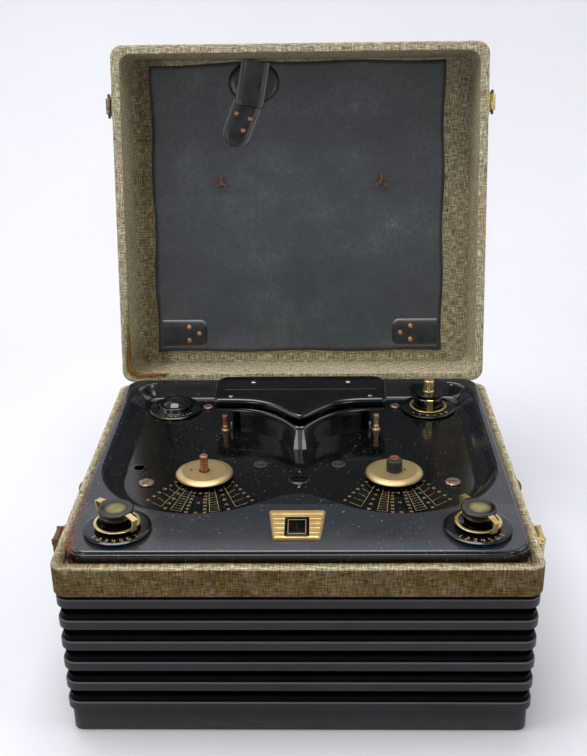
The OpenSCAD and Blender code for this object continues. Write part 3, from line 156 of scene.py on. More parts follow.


# Black phenolic body, compression moulded: satin and scuffed on the faces, with painted shade that makes the grooves
# dead black and a painted highlight along the ribs' upper edges.
def satin_moulding(t):
    place = add(t, "TexCoord").outputs["Object"]
    # Clouds of 33 mm, and level scuffs 1.4 mm high and 17 mm long, palest near the foot
    cloud = add(t, "TexNoise", links={"Vector": place, "Scale": 30.0, "Detail": 5.0, "Roughness": 0.65})
    scuff = add(t, "Mapping", links={"Vector": place, "Scale": (60.0, 60.0, 700.0)})
    rub = add(t, "TexNoise", links={"Vector": scuff, "Scale": 1.0, "Detail": 3.0})
    base = add(t, "ValToRGB", {"stops": [(0.3, "#0b0c0e"), (0.7, "#16181b")]}, {0: cloud})
    height = add(t, "SeparateXYZ", links={0: place}).outputs[2]
    low = add(t, "MapRange", links={0: height, 1: 0.024, 2: 0.004, 3: 0.0, 4: 0.5})
    scuffs = add(t, "Math", {"operation": "MULTIPLY", "use_clamp": True}, {0: low, 1: rub})
    rubbed = add(t, "Mix", COLOURS, {0: scuffs, 6: base, 7: "#62645c"})
    # Wear is 1 in the grooves, painted shade that blackens them and takes away their shine, and below 0 on the ribs'
    # upper edges, a painted highlight line
    deep = add(t, "Attribute", WEAR_AND_PAINTED_LIGHT).outputs["Fac"]
    painted_highlight = add(t, "MapRange", links={0: deep, 1: 0.0, 2: -1.0})
    with_painted_highlight = add(t, "Mix", COLOURS, {0: painted_highlight, 6: rubbed, 7: "#6b7074"})
    colour = add(t, "Mix", COLOURS, {0: deep, 6: with_painted_highlight, 7: "#030304"})
    rough = add(t, "MapRange", links={0: rub, 1: 0.3, 2: 0.7, 3: 0.3, 4: 0.48})
    shine = add(t, "MapRange", links={0: deep, 1: 0.0, 2: 1.0, 3: 0.35, 4: 0.0})
    bump = add(t, "Bump", links={"Strength": 0.15, "Distance": 0.0003, "Height": rub})
    return {"Base Color": colour, "Roughness": rough, "Normal": bump, "Specular IOR Level": shine}


# Black stoved enamel on pressed steel: glossy and slightly wavy, dusty, with a pale film of dust and painted reflection
# over the border, and rust along the left edge.
def stoved_enamel(t):
    place = add(t, "TexCoord").outputs["Object"]
    # Smears of 38 mm, and dust specks of 0.3 mm, drawn at 2.4 mm so that they show
    smear = add(t, "TexNoise", links={"Vector": place, "Scale": 26.0, "Detail": 6.0, "Roughness": 0.7})
    speck = add(t, "TexNoise", links={"Vector": place, "Scale": 420.0, "Detail": 2.0, "Roughness": 0.6})
    dust = add(t, "ValToRGB", between(0.675, 0.74), {0: speck})
    base = add(t, "ValToRGB", {"stops": [(0.35, "#040506"), (0.75, "#0b0c0e")]}, {0: smear})
    # Wear is a pale bluish film: settled dust, and a painted reflection of the pale room
    dust_and_reflection = add(t, "Attribute", WEAR_AND_PAINTED_LIGHT).outputs["Fac"]
    film = add(t, "Math", TIMES, {0: dust_and_reflection, 1: 0.3})
    dust_and_reflection_filmed = add(t, "Mix", COLOURS, {0: film, 6: base, 7: "#4a5056"})
    dusty = add(t, "Mix", COLOURS, {0: dust, 6: dust_and_reflection_filmed, 7: "#6f6c68"})
    # Rust in patches of 10 mm along the left edge, most of it near the front
    where = add(t, "SeparateXYZ", links={0: place})
    edge = add(t, "MapRange", links={0: where.outputs[0], 1: -0.181, 2: -0.1935, 3: 0.0, 4: 0.32})
    near = add(t, "MapRange", links={0: where.outputs[1], 1: -0.1, 2: -0.168, 3: 0.8, 4: 1.5})
    ragged = add(t, "TexNoise", links={"Vector": place, "Scale": 95.0, "Detail": 5.0, "Roughness": 0.7})
    eaten = add(t, "Math", TIMES, {0: edge, 1: near})
    spread = add(t, "Math", {"operation": "ADD"}, {0: eaten, 1: ragged})
    rust = add(t, "ValToRGB", between(0.70, 0.78), {0: spread})
    brown = add(t, "ValToRGB", {"stops": [(0.35, "#2a1710"), (0.65, "#6d4028")]}, {0: speck})
    colour = add(t, "Mix", COLOURS, {0: rust, 6: dusty, 7: brown})
    gloss = add(t, "MapRange", links={0: smear, 1: 0.3, 2: 0.75, 3: 0.07, 4: 0.22})
    rough = add(t, "Mix", {"data_type": "FLOAT"}, {0: rust, 2: gloss, 3: 0.8})
    bump = add(t, "Bump", links={"Strength": 0.08, "Distance": 0.0006, "Height": smear})
    return {"Base Color": colour, "Roughness": rough, "Normal": bump}


# Black bakelite from a polished mould: deep gloss, with finger smears of 22 mm that dull it a little.
def gloss_bakelite(t):
    place = add(t, "TexCoord").outputs["Object"]
    smear = add(t, "TexNoise", links={"Vector": place, "Scale": 45.0, "Detail": 5.0, "Roughness": 0.65})
    base = add(t, "ValToRGB", {"stops": [(0.35, "#030304"), (0.75, "#090a0b")]}, {0: smear})
    rough = add(t, "MapRange", links={0: smear, 1: 0.3, 2: 0.75, 3: 0.1, 4: 0.22})
    return {"Base Color": base, "Roughness": rough}


# Leatherette: embossed coated cloth glued on card, dull, with a fine grain and pale rubbed patches.
def leatherette(t):
    place = add(t, "TexCoord").outputs["Object"]
    # Grain of about 1.6 mm, rubbed patches of 77 mm broken up at 4 mm
    grain = add(t, "TexVoronoi", {"feature": "DISTANCE_TO_EDGE"}, {"Vector": place, "Scale": 620.0})
    rubbed = add(t, "TexNoise", links={"Vector": place, "Scale": 13.0, "Detail": 8.0, "Roughness": 0.68})
    fine = add(t, "TexNoise", links={"Vector": place, "Scale": 260.0, "Detail": 3.0, "Roughness": 0.7})
    mixed = add(t, "Math", {"operation": "MULTIPLY_ADD"}, {0: fine, 1: 0.45, 2: rubbed})
    colour = add(t, "ValToRGB", {"stops": [
        (0.52, "#2a2f33"), (0.72, "#363b3e"), (0.88, "#454a4c"), (1.0, "#6a6d6d")]}, {0: mixed})
    rough = add(t, "MapRange", links={0: rubbed, 1: 0.3, 2: 0.7, 3: 0.42, 4: 0.62})
    bump = add(t, "Bump", links={"Strength": 0.35, "Distance": 0.0004, "Height": grain})
    return {"Base Color": colour, "Roughness": rough, "Normal": bump}


# Black strap leather, finished with a shiny dressing, cracked fine and rubbed pale along its edges.
def strap_leather(t):
    place = add(t, "TexCoord").outputs["Object"]
    # Cracks 2.6 mm apart and clouds of 14 mm
    crack = add(t, "TexVoronoi", {"feature": "DISTANCE_TO_EDGE"}, {"Vector": place, "Scale": 380.0})
    cloud = add(t, "TexNoise", links={"Vector": place, "Scale": 70.0, "Detail": 5.0})
    colour = add(t, "ValToRGB", {"stops": [(0.35, "#08090a"), (0.7, "#1b1d20")]}, {0: cloud})
    rubbed = add(t, "Attribute", WEAR_AND_PAINTED_LIGHT).outputs["Fac"]
    pale = add(t, "Mix", COLOURS, {0: rubbed, 6: colour, 7: "#7b7a7c"})
    rough = add(t, "MapRange", links={0: cloud, 1: 0.3, 2: 0.7, 3: 0.24, 4: 0.46})
    bump = add(t, "Bump", links={"Strength": 0.3, "Distance": 0.0003, "Height": crack})
    return {"Base Color": pale, "Roughness": rough, "Normal": bump}


def aged(clean, dull, spoil, share, rough, metal=1.0, grit=90.0):
    """Paint of an aged surface: clean colour, a dull film in clouds, and spots of spoil above the share, or where the
    wear is. The clouds are 1000 / grit mm wide, so 11 mm at 90, and the spots a third of that."""
    def paint(t):
        place = add(t, "TexCoord").outputs["Object"]
        cloud = add(t, "TexNoise", links={"Vector": place, "Scale": grit, "Detail": 5.0, "Roughness": 0.6})
        spot = add(t, "TexNoise", links={"Vector": place, "Scale": grit * 3.1, "Detail": 4.0, "Roughness": 0.7})
        film = add(t, "ValToRGB", {"stops": [(0.35, clean), (0.68, dull)]}, {0: cloud})
        mask = add(t, "ValToRGB", between(share, share + 0.1), {0: spot})
        worn = add(t, "Attribute", WEAR_AND_PAINTED_LIGHT).outputs["Fac"]
        both = add(t, "Math", {"operation": "MAXIMUM"}, {0: mask, 1: worn})
        colour = add(t, "Mix", COLOURS, {0: both, 6: film, 7: spoil})
        gloss = add(t, "MapRange", links={0: cloud, 1: 0.3, 2: 0.7, 3: rough[0], 4: rough[1]})
        bump = add(t, "Bump", links={"Strength": 0.12, "Distance": 0.0003, "Height": spot})
        return {"Base Color": colour, "Roughness": gloss, "Metallic": metal, "Normal": bump}
    return paint


# Blown glass of the valves: clear, faintly clouded with dust in patches of 6 mm.
def dusty_glass(t):
    place = add(t, "TexCoord").outputs["Object"]
    dust = add(t, "TexNoise", links={"Vector": place, "Scale": 160.0, "Detail": 4.0})
    rough = add(t, "MapRange", links={0: dust, 1: 0.4, 2: 0.8, 3: 0.04, 4: 0.2})
    tint = add(t, "ValToRGB", {"stops": [(0.4, "#dfe6e4"), (0.8, "#b9c2bf")]}, {0: dust})
    return {"Base Color": tint, "Roughness": rough, "Transmission Weight": 1.0, "IOR": 1.5}


CLOTH = material("tweed_bookcloth_woven", tweed_bookcloth)
MOULDING = material("phenolic_body_moulded_satin", satin_moulding)
ENAMEL = material("stoved_enamel_on_steel", stoved_enamel)
BAKELITE = material("bakelite_polished_mould", gloss_bakelite)
LEATHERETTE = material("leatherette_embossed", leatherette)
LEATHER = material("strap_leather_dressed", strap_leather)
# Gilt brass: thin bright lacquered plate, dulled brown in clouds
GILT = material("gilt_brass_spun", aged("#c2ab7d", "#a78f63", "#5a4022", 0.7, (0.3, 0.46), 0.8, 60.0))
# Gilt brass of the badge: rolled plate, browner
ROLLED = material("gilt_brass_rolled", aged("#bba06c", "#a1844f", "#5f4526", 0.7, (0.3, 0.46), 0.8, 60.0))
# Brass: stamped sheet, tarnished
BRASS = material("brass_stamped_tarnished", aged("#dcc68c", "#b39a5e", "#5a4828", 0.66, (0.2, 0.4), 0.9))
# Copper-plated steel gone brown
COPPER = material("copper_plate_browned", aged("#bd8d6c", "#8f6549", "#4a2f20", 0.62, (0.3, 0.5), 0.9))
# Nickel-plated steel, rusted in spots
RUSTY = material("nickel_plate_rusted", aged("#a39489", "#6d5344", "#5a2f1b", 0.52, (0.35, 0.65)))
# Turned steel: grey and fairly bright, with faint brown spots
STEEL = material("steel_turned", aged("#b9b6b0", "#8d8a85", "#5b5148", 0.68, (0.22, 0.42)))
# Pressed aluminium: pale grey, half matt
ALUMINIUM = material("aluminium_pressed", aged("#b9bcbc", "#9a9d9e", "#7b7d7d", 0.7, (0.3, 0.5)))
# Cast iron under dull dark paint
IRON = material("iron_cast_painted", aged("#4a4d50", "#383a3d", "#26282a", 0.6, (0.5, 0.75), 0.4))
# Moulded rubber, bloomed grey
RUBBER = material("rubber_moulded_bloomed", aged("#0e0f11", "#1a1b1e", "#2e2e2e", 0.66, (0.5, 0.75), 0.0))
# Felted paper of the speaker cone: dark and dull
PAPER = material("cone_paper_felted", aged("#3b3733", "#2d2a27", "#4c4741", 0.6, (0.8, 0.95), 0.0))
# Bare plywood: matt, brown in clouds
PLYWOOD = material("plywood_bare", aged("#8a6a44", "#745535", "#57402a", 0.64, (0.6, 0.8), 0.0, 40.0))
GLASS = material("glass_clear_dusty", dusty_glass)
# Smoked glass of the level eye, polished
SMOKED = material("glass_smoked_polished", aged("#17191a", "#0f1112", "#22262a", 0.72, (0.05, 0.14), 0.0))
# Gold ink, screened on black enamel and rubbed thin
INK = material("gold_ink_screened", aged("#c3ab7c", "#8f7a52", "#4c3f28", 0.6, (0.4, 0.6), 0.2, 160.0))
# Steel rusted brown all over
RUST = material("steel_rusted_brown", aged("#6e4a33", "#49301f", "#8a5430", 0.55, (0.5, 0.75), 0.3, 200.0))
# Dark enamel behind the level lens
FACE = material("dark_enamel_face", aged("#22272a", "#171b1d", "#31373a", 0.66, (0.3, 0.5), 0.0))
# Painted shade: black in the screw slots and the turntables' blind holes, which are drawn flat
SLOT_AND_HOLE_SHADE = material("painted_shade_in_slots_and_holes", aged("#0b0a09", "#151311", "#1d1a17", 0.6, (0.8, 0.95), 0.0))
# Knob discs: gilt card, rubbed dark
TOPS = material("gilt_card_rubbed", aged("#8c8350", "#6c6440", "#23241f", 0.66, (0.4, 0.55), 0.6, 120.0))


def skin(name, finish, body, grids, nodes=(), crease=38, closed=True):
    """One mesh from grids of points in mm. A grid is (points, uv or None, kept cells or None, wear or None);
    points are rows and columns, or a stack of such patches, and each cell of a grid is a face."""
    verts, faces, maps, wears, base = [], [], [], [], 0
    for grid in grids:
        grid = grid if isinstance(grid, tuple) else (grid,)
        points, uv, keep, wear = grid + (None,) * (4 - len(grid))
        index = base + np.arange(points[..., 0].size).reshape(points.shape[:-1])
        cell = np.stack([index[..., :-1, :-1], index[..., :-1, 1:], index[..., 1:, 1:], index[..., 1:, :-1]], -1)
        faces.append((cell if keep is None else cell[keep]).reshape(-1, 4))
        verts.append(points.reshape(-1, 3))
        maps.append((points[..., :2] if uv is None else uv).reshape(-1, 2))
        wears.append(np.zeros(index.size) if wear is None else np.broadcast_to(wear, index.shape).ravel())
        base += index.size
    verts, faces, maps, wears = map(np.concatenate, (verts, faces, maps, wears))
    mesh = bpy.data.meshes.new(name)
    mesh.vertices.add(len(verts))
    mesh.vertices.foreach_set("co", (verts * MM).ravel())
    mesh.loops.add(faces.size)
    mesh.loops.foreach_set("vertex_index", faces.ravel())
    mesh.polygons.add(len(faces))
    mesh.polygons.foreach_set("loop_start", np.arange(0, faces.size, 4))
    mesh.update(calc_edges=True)
    mesh.uv_layers.new(name="UVMap").data.foreach_set("uv", (maps[faces.ravel()] * MM).ravel())
    mesh.attributes.new("wear", "FLOAT", "POINT").data.foreach_set("value", wears)
    work = bmesh.new()
    work.from_mesh(mesh)
    bmesh.ops.remove_doubles(work, verts=work.verts, dist=2e-6)
    if closed:
        bmesh.ops.recalc_face_normals(work, faces=work.faces)
    work.to_mesh(mesh)
    work.free()
    mesh.shade_smooth()
    mesh.set_sharp_from_angle(angle=np.radians(crease))
    mesh.materials.append(finish)
    piece = bpy.data.objects.new(name, mesh)
    bpy.context.scene.collection.objects.link(piece)
    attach(piece, body)
    if nodes:
        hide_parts(*nodes)
    return piece


def soft(points, radius, steps):
    """An open line with its corners rounded: corner A becomes (1-t)^2 P + 2t(1-t) A + t^2 Q, with P and Q on
    its two sides, radius away from A or nearly half a side."""
    p = np.asarray(points, float)
    a, before, after = p[1:-1], p[:-2] - p[1:-1], p[2:] - p[1:-1]
    l0, l1 = np.linalg.norm(before, axis=1), np.linalg.norm(after, axis=1)
    cut = np.minimum(np.broadcast_to(radius, len(a)), 0.49 * np.minimum(l0, l1))[:, None]
    start, stop = a + before / l0[:, None] * cut, a + after / l1[:, None] * cut
    t = np.linspace(0, 1, steps)[None, :, None]
    bend = (1 - t) ** 2 * start[:, None] + 2 * t * (1 - t) * a[:, None] + t ** 2 * stop[:, None]
    return np.vstack([p[:1], bend.reshape(-1, p.shape[1]), p[-1:]])


def columns(front, side, bend):
    """Columns of a rounded rectangle, anticlockwise from its rear middle: each is a place (cx, cy) on the
    rectangle of the corner centres, as shares of its half sizes, and an outward direction (nx, ny)."""
    front, side = np.asarray(front, float), np.asarray(side, float)

    def row(*parts):
        return np.stack(np.broadcast_arrays(*parts), -1).astype(float)

    def corner(sx, sy, start):
        a = np.radians(start + np.linspace(0, 90, bend))
        return row(sx, sy, np.cos(a), np.sin(a))
    rear = front[::-1]
    return np.vstack([
        row(rear[rear <= 0], 1, 0, 1), corner(-1, 1, 90), row(-1, side[::-1], -1, 0), corner(-1, -1, 180),
        row(front, -1, 0, -1), corner(1, -1, 270), row(1, side, 1, 0), corner(1, 1, 0),
        row(rear[rear >= 0], 1, 0, 1)])


def loft(cols, inset, z, w, d, r):
    """Rounded rectangles as rows: row i is the outline of w by d with corners r (or r i), drawn in by inset i, at
    z i."""
    inset, z = np.asarray(inset, float)[:, None], np.asarray(z, float)[:, None]
    q = np.maximum(np.reshape(r, (-1, 1)) - inset, 0.05)
    x = cols[:, 0] * (w / 2 - inset - q) + cols[:, 2] * q
    y = cols[:, 1] * (d / 2 - inset - q) + cols[:, 3] * q
    return np.stack([x, y, z + 0 * x], -1)


def laid(p):
    """Cloth laid on a grid: u is the length along its longest row, v the length up its first column."""
    steps = np.linalg.norm(np.diff(p, axis=1), axis=2)
    u = np.r_[0, np.cumsum(steps[np.argmax(steps.sum(1))])]
    v = np.r_[0, np.cumsum(np.linalg.norm(np.diff(p[:, 0], axis=0), axis=1))]
    return np.stack(np.meshgrid(u, v), -1)


def turned(profile, x, y, z, steps):
    """Lathe: the radii and heights of a profile carried round an upright axis at x, y, from the height z up."""
    a = np.linspace(0, 2 * np.pi, steps + 1)
    r, h = np.asarray(profile, float).T[..., None]
    return np.stack([x + r * np.cos(a), y + r * np.sin(a), z + h + 0 * a], -1)


def pillow(w, d, h, r, edge):
    """Box of w by d by h on z 0 with corners r: at foot and top it is drawn in by edge (1 - sin a)."""
    a = np.linspace(0, np.pi / 2, 5)
    middle = min(w, d) / 2 - 0.05
    inset = np.r_[middle, edge * (1 - np.sin(a)), edge * (1 - np.cos(a)), middle]
    z = np.r_[0, edge * (1 - np.cos(a)), h - edge * (1 - np.sin(a)), h]
    return loft(columns([-0.5, 0, 0.5], [-0.5, 0, 0.5], 6), inset, z, w, d, r)


def set_at(p, at, turn=0.0):
    """Points turned about the upright axis through the origin, in degrees, then moved to a place."""
    m = np.array(Matrix.Rotation(np.radians(turn), 3, "Z"))
    return p @ m.T + np.asarray(at, float)


def lid(p):
    """Points of the closed lid, turned back about its hinges by the open angle."""
    y, z = p[..., 1] - HINGE_Y, p[..., 2] - HINGE_Z
    c, s = np.cos(LID_TURN), np.sin(LID_TURN)
    return np.stack([p[..., 0], HINGE_Y + y * c - z * s, HINGE_Z + y * s + z * c], -1)


def ripple(p, size, depth):
    """A soft unevenness in mm: the product of slow sines along the three axes, depth high."""
    x, y, z = np.moveaxis(p, -1, 0) / size
    slow = np.sin(x + 1.7 * np.sin(0.6 * y)) * np.cos(1.3 * y + 0.7 * z)
    return depth * (slow + 0.5 * np.sin(2.3 * x - 1.1 * z + y)) / 1.5


# Ribbed body

def ribbed_body():
    """The body's section carried round the case outline: a plain skirt, then six ribs with round edges between
    grooves. The sound slots are cells left out of the front grooves, with walls through the body. The wear paints
    shade:
    it grows with the depth of the section, most by the slots and on the slot walls, and it is below 0 along the ribs'
    upper edges, where it paints a pale highlight line."""
    rib, groove, inner, skirt, panel = 1.5, 4.5, 11.5, 9.5, 9.0
    pitch, rib_h, ledge, slot_h, slot_x = 21.4, 8.8, 1.5, 5.0, 110.0
    band = RIM - BAND_H
    tops = band - 3.5 - pitch * np.arange(6)[::-1]
    slots = tops - rib_h - ledge
    section, radii, inside = [(skirt, 0), (groove, 0)], [1.5], []
    for top, slot in zip(tops, slots):
        foot = top - rib_h
        section += [(groove, slot - slot_h), (groove, slot), (groove, foot), (rib, foot), (rib, top), (groove, top)]
        radii += [0, 0, 0.3, 0.7, 1.3, 0.4]
        inside = [(inner, slot), (inner, slot - slot_h)] + inside
    section += [(groove, band), (inner, band)] + inside + [(inner, panel), (skirt, panel), (skirt, 0)]
    line = soft(section, np.array(radii + [0] * (len(section) - 2 - len(radii))), 6)
    inset, z = line.T
    share = slot_x / (CASE_W / 2 - CASE_R)
    cols = columns([-0.9, -share, -0.25, 0, 0.25, share, 0.9], np.linspace(-0.95, 0.95, 7), 9)
    body = loft(cols, inset, z, CASE_W, CASE_D, CASE_R)
    mid = (body[:-1, :-1] + body[1:, 1:]) / 2
    upright = np.abs(np.diff(inset)) < 0.01
    wall = upright & (np.abs(inset[:-1, None] - [groove, inner]) < 0.01).any(1)
    level = (z[:-1] + z[1:]) / 2
    in_slot = (np.abs(level[:, None] - (slots[1:] - slot_h / 2)) < slot_h / 2).any(1) & wall
    cut = in_slot[:, None] & (np.abs(mid[..., 0]) < slot_x) & (mid[..., 1] < -100)
    mouth = np.array([[-1, -1], [1, -1], [1, 0], [-1, 0], [-1, -1]]) * [slot_x, slot_h]
    depth = -CASE_D / 2 + np.array([[groove], [inner]])
    reveals = np.stack(np.broadcast_arrays(mouth[:, 0], depth, mouth[:, 1] + slots[1:, None, None]), -1)
    # Painted shade: the grooves darken with depth, most by the slots and little below the lowest rib; the slot walls
    # get 1 and are painted black
    by_slot = (np.abs(z[:, None] - (tops - 12)) < 3.4).any(1)
    deep = np.clip((inset - rib - 0.9) / 1.6, 0, 1) * np.where(by_slot, 1, 0.75)
    deep *= np.where(z < tops[0] - 8.9, 0.15, 1)
    # Painted highlight: a pale line along each rib's upper edge
    painted_highlight = (np.abs(z[:, None] - (tops - 0.6)) < 0.55).any(1) & (inset < rib + 1.2)
    deep[painted_highlight] = -0.45
    skin("ribbed_body", MOULDING, "case",
         [(body, None, ~cut, deep[:, None]), (reveals, None, None, 1.0)], ["base_shell"], 50)


# Cloth-covered band and lid

AROUND = columns(np.linspace(-1, 1, 41), np.linspace(-1, 1, 37), 9)


def cloth_band():
    """The band's section carried round the case outline, with edges that the wrapped cloth rounds. Its wear is soil:
    on the ledge by the deck, along the foot, over the top, and round the near left corner. Over the outer face, most
    over the front, it is soil and painted shade, and the outer top edge is left clean, a pale line of threadbare cloth
    and a painted highlight."""
    foot, ledge = RIM - BAND_H, RIM - 8
    line = soft([(17.5, foot), (0, foot), (0, RIM), (9.5, RIM), (9.5, ledge), (17.5, ledge), (17.5, foot)],
                np.array([2.0, 1.8, 1.6, 1, 1]), 7)
    inset, z = line.T
    p = loft(AROUND, inset, z, CASE_W, CASE_D, CASE_R)
    p[..., 2] += ripple(p, 31.0, 0.25) * (p[..., 2] > RIM - 6)
    wear = 0.9 * np.clip((4 - np.hypot(inset - 9.5, z - RIM + 4)) / 4, 0, 1)
    # The top is soiled, all but the outer top edge: a pale line of threadbare cloth that also paints the edge's
    # highlight
    wear = np.maximum(wear, 1.8 * ((z > RIM - 0.5) & (inset > 2)))
    wear = np.maximum(wear, 0.8 * np.clip((RIM - 18 - z) / 10, 0, 1))[:, None]
    corner_x, corner_y, spread = -204, -184, 60
    corner = np.clip(1 - np.hypot(p[..., 0] - corner_x, p[..., 1] - corner_y) / spread, 0, 1)
    front = np.clip((-40 - p[..., 1]) / 140, 0, 1)
    # Painted shade: the outer face darkens, most over the front, as soil and as painted shade of that face
    soiled_and_shaded = (0.5 + 1.25 * front) * ((inset < 2) & (z < RIM - 1.6))[:, None]
    wear = np.maximum(np.maximum(wear, corner), soiled_and_shaded)
    skin("cloth_band", CLOTH, "case", [(p, laid(p), None, wear)], ["case_band"], 60)


def cloth_lid():
    """The tray of the lid: its wall section carried round the case outline, its inner corners as round as the outer
    ones, closed by a roof and a ceiling whose rows draw in to the middle, then turned back about the hinges. On the
    edge the cloth is laid flat in plan. Its wear is soil, and rust on the inner edge at the left hinge."""
    line = soft([(LID_WALL, CEILING), (LID_WALL, LID_EDGE + 48), (LID_WALL, LID_EDGE + 20), (LID_WALL, LID_EDGE + 6),
                 (LID_WALL, LID_EDGE), (0, LID_EDGE), (0, LID_ROOF), (8, LID_ROOF)],
                np.array([0, 0, 0, 1.3, 2.2, 6.0]), 7)
    inset, z = line.T
    wall = loft(AROUND, inset, z, CASE_W, CASE_D, CASE_R + np.where(z < LID_ROOF - 7, inset, 0))
    roof = loft(AROUND, [8, 30, 70, 120, 184.4], [LID_ROOF] * 5, CASE_W, CASE_D, CASE_R)
    tray = loft(AROUND, [LID_WALL, 20, 34, 60, 120, 184.4], [CEILING] * 6, CASE_W, CASE_D, CASE_R + LID_WALL)
    rim = 0.1 * np.clip((9 - np.abs(z - LID_EDGE)) / 9, 0, 1)
    deep = 0.45 * np.clip((z - CEILING + 22) / 22, 0, 1) * (inset > 9)
    corner_x, corner_y, spread = -194, 175, 46
    far = np.hypot(wall[..., 0] - corner_x, wall[..., 1] - corner_y) / spread
    corner = 1.5 * np.clip(1 - far, 0, 1) * (inset > 5)[:, None]
    edging = ((inset > 8) & (z < LID_EDGE + 2))[:, None] & (wall[..., 0] < -150) & (wall[..., 1] > 20)
    rust = 3.1 * np.clip(1 - 0.45 * far, 0, 1) * edging
    wear = np.maximum(np.maximum(rim, deep)[:, None], np.maximum(corner, rust))
    edge = np.clip(1 - np.hypot(tray[..., 0] + 186, tray[..., 1] - 166) / 50, 0, 1)
    edge = np.maximum(edge, 0.9 * ((tray[..., 0] < -160) & (tray[..., 0] > -190)))
    hem, brim = np.flatnonzero(z < LID_EDGE + 0.4)[[0, -1]]
    cloth = laid(wall)
    rows = [(slice(0, hem + 1), cloth), (slice(hem, brim + 1), wall[..., :2]), (slice(brim, None), cloth)]
    grids = [(lid(wall[k]), uv[k], None, wear[k]) for k, uv in rows]
    grids += [(lid(roof), roof[..., :2]), (lid(tray), tray[..., :2], None, np.maximum(0.4, 1.4 * edge))]
    skin("cloth_lid", CLOTH, "lid", grids, ["lid_shell"], 60)


def on_liner(x, along, rise):
    """A point over the liner of the closed lid: across, along from the hinge edge, and rising into the tray."""
    x, along, rise = np.broadcast_arrays(x, along, rise)
    return lid(np.stack([x, CASE_D / 2 - along, LINER_Z - rise], -1).astype(float))


def leatherette_liner():
    """Card covered with leatherette: a grid over the board whose height rises as 1 - (1 - e)^4 from the edge,
    with slow waves of the cover and edges that bow in and out by a millimetre or two, the top one by more."""
    half_w, half_l, mid_x, mid_along = 170, 165, -4, 187
    s, t = np.meshgrid(np.linspace(-1, 1, 121), np.linspace(-1, 1, 121))
    bow_x = 1 - 0.006 * (1 + np.cos(9 * t + 1)) * np.abs(s) ** 6
    bow_t = 1 - 0.005 * (1 + np.cos(8 * s)) * np.abs(t) ** 6
    reach = half_l + (2.6 + 3.8 * np.clip((s + 1) / 0.8, 0, 1)) * (t > 0)
    x, along = mid_x + half_w * s * bow_x, mid_along + reach * t * bow_t
    edge = np.minimum(half_w * (1 - np.abs(s)), half_l * (1 - np.abs(t)))
    lift = 1 - (1 - np.clip(edge / 5, 0, 1)) ** 4
    wave = 0.35 * np.sin(x / 31 + 1.2 * np.sin(along / 53)) * np.cos(along / 43) * np.clip(edge / 25, 0, 1)
    top = on_liner(x, along, (3.6 + wave) * lift - LINER_T)
    skin("leatherette_liner", LEATHERETTE, "lid", [top, on_liner(x, along, -LINER_T)],
         ["lid_liner"], 60)


def strap_plan(length, width, round_end):
    """Half widths along a strap: full width, ending round (a quarter circle) or squarish with small corners."""
    q = np.linspace(0, np.pi / 2, 9)
    r = width / 2 if round_end else 7.0
    s = np.r_[0, length * 0.3, length * 0.6, length - r + r * np.sin(q)]
    half = np.r_[[width / 2] * 3, width / 2 - r + r * np.cos(q)]
    return s, half


def strap(length, width, round_end, bend):
    """A strap along +X from the origin: rows across its plan, its edges rolled down, its height bend(s)."""
    s, half = strap_plan(length, width, round_end)
    v = np.linspace(-1, 1, 13)
    roll = STRAP_T * (1 - np.abs(v) ** 8)
    roll = roll[None, :] * np.clip((length - s) / 1.2, 0, 1)[:, None] ** 0.5
    top = np.stack([s[:, None] + 0 * v, half[:, None] * v, bend(s)[:, None] + roll], -1)
    foot = top.copy()
    foot[..., 2] = bend(s)[:, None]
    return [top, foot]


def spread_on_liner(grids, x, along, turn):
    """Grids in strap measure, turned in the plane of the liner and set on it."""
    c, s = np.cos(np.radians(turn)), np.sin(np.radians(turn))
    return [on_liner(x + p[..., 0] * c - p[..., 1] * s, along - p[..., 0] * s - p[..., 1] * c, p[..., 2])
            for p in grids]


def flat_bend(s):
    """A strap that lies flat on the liner."""
    return 0.05 + 0 * s


def fold_bend(s):
    """The strap that lies on the round flap, thicker where it is folded over at its start."""
    return 2.5 + 2.2 * np.exp(-(s / 4.5) ** 2)


# Strap ends on the liner: place across and along, turn and length; the one far along ends round
STRAPS = [(-61.0, 310.0, 112.0, 50.0), (-166.0, 45.0, 0.0, 52.0), (159.0, 45.0, 180.0, 52.0)]
STRAP_W, STRAP_T, FAR_ALONG = 33, 2.4, 200


def leather_straps():
    """The three strap ends, and at the top the round flap with the folded strap that holds its strap end."""
    rubbed = np.abs(np.linspace(-1, 1, 13)) ** 9
    grids = []
    for x, along, turn, length in STRAPS:
        grids += spread_on_liner(strap(length, STRAP_W, along > FAR_ALONG, flat_bend), x, along, turn)
    grids += spread_on_liner(strap(51, 32, False, fold_bend), -50.5, 357.0, 100.0)
    grids = [(p, None, None, rubbed) for p in grids]
    rings = [1.0, 0.985, 0.96, 0.9, 0.7, 0.4, 0.02]
    rho, a = np.meshgrid(rings, np.linspace(0, 2 * np.pi, 61), indexing="ij")
    flap = np.stack([29 * rho * np.cos(a), 24 * rho * np.sin(a), 0.05 + STRAP_T * (1 - rho ** 24)], -1)
    grids += spread_on_liner([flap, flap * [1, 1, 0] + [0, 0, 0.05]], -53.0, 334.0, 0.0)
    skin("leather_straps", LEATHER, "lid", grids, ["liner_straps"], 60)


def rivet_heads():
    """Domed rivets: r = R cos a, h = H sin a, on their straps."""
    a = np.linspace(0, np.pi / 2, 6)
    dome = np.stack([3.0 * np.cos(a), 1.1 * np.sin(a)], -1)
    grids = []
    for x, along, turn, _ in STRAPS:
        spots = [(14, -9), (14, 8), (29, -6)] if along > FAR_ALONG else [(31, -8), (31, 8), (43, 0)]
        grids += spread_on_liner([turned(dome, s, v, STRAP_T, 20) for s, v in spots], x, along, turn)
    skin("rivet_heads", COPPER, "lid", grids, ["strap_rivets"], 60)


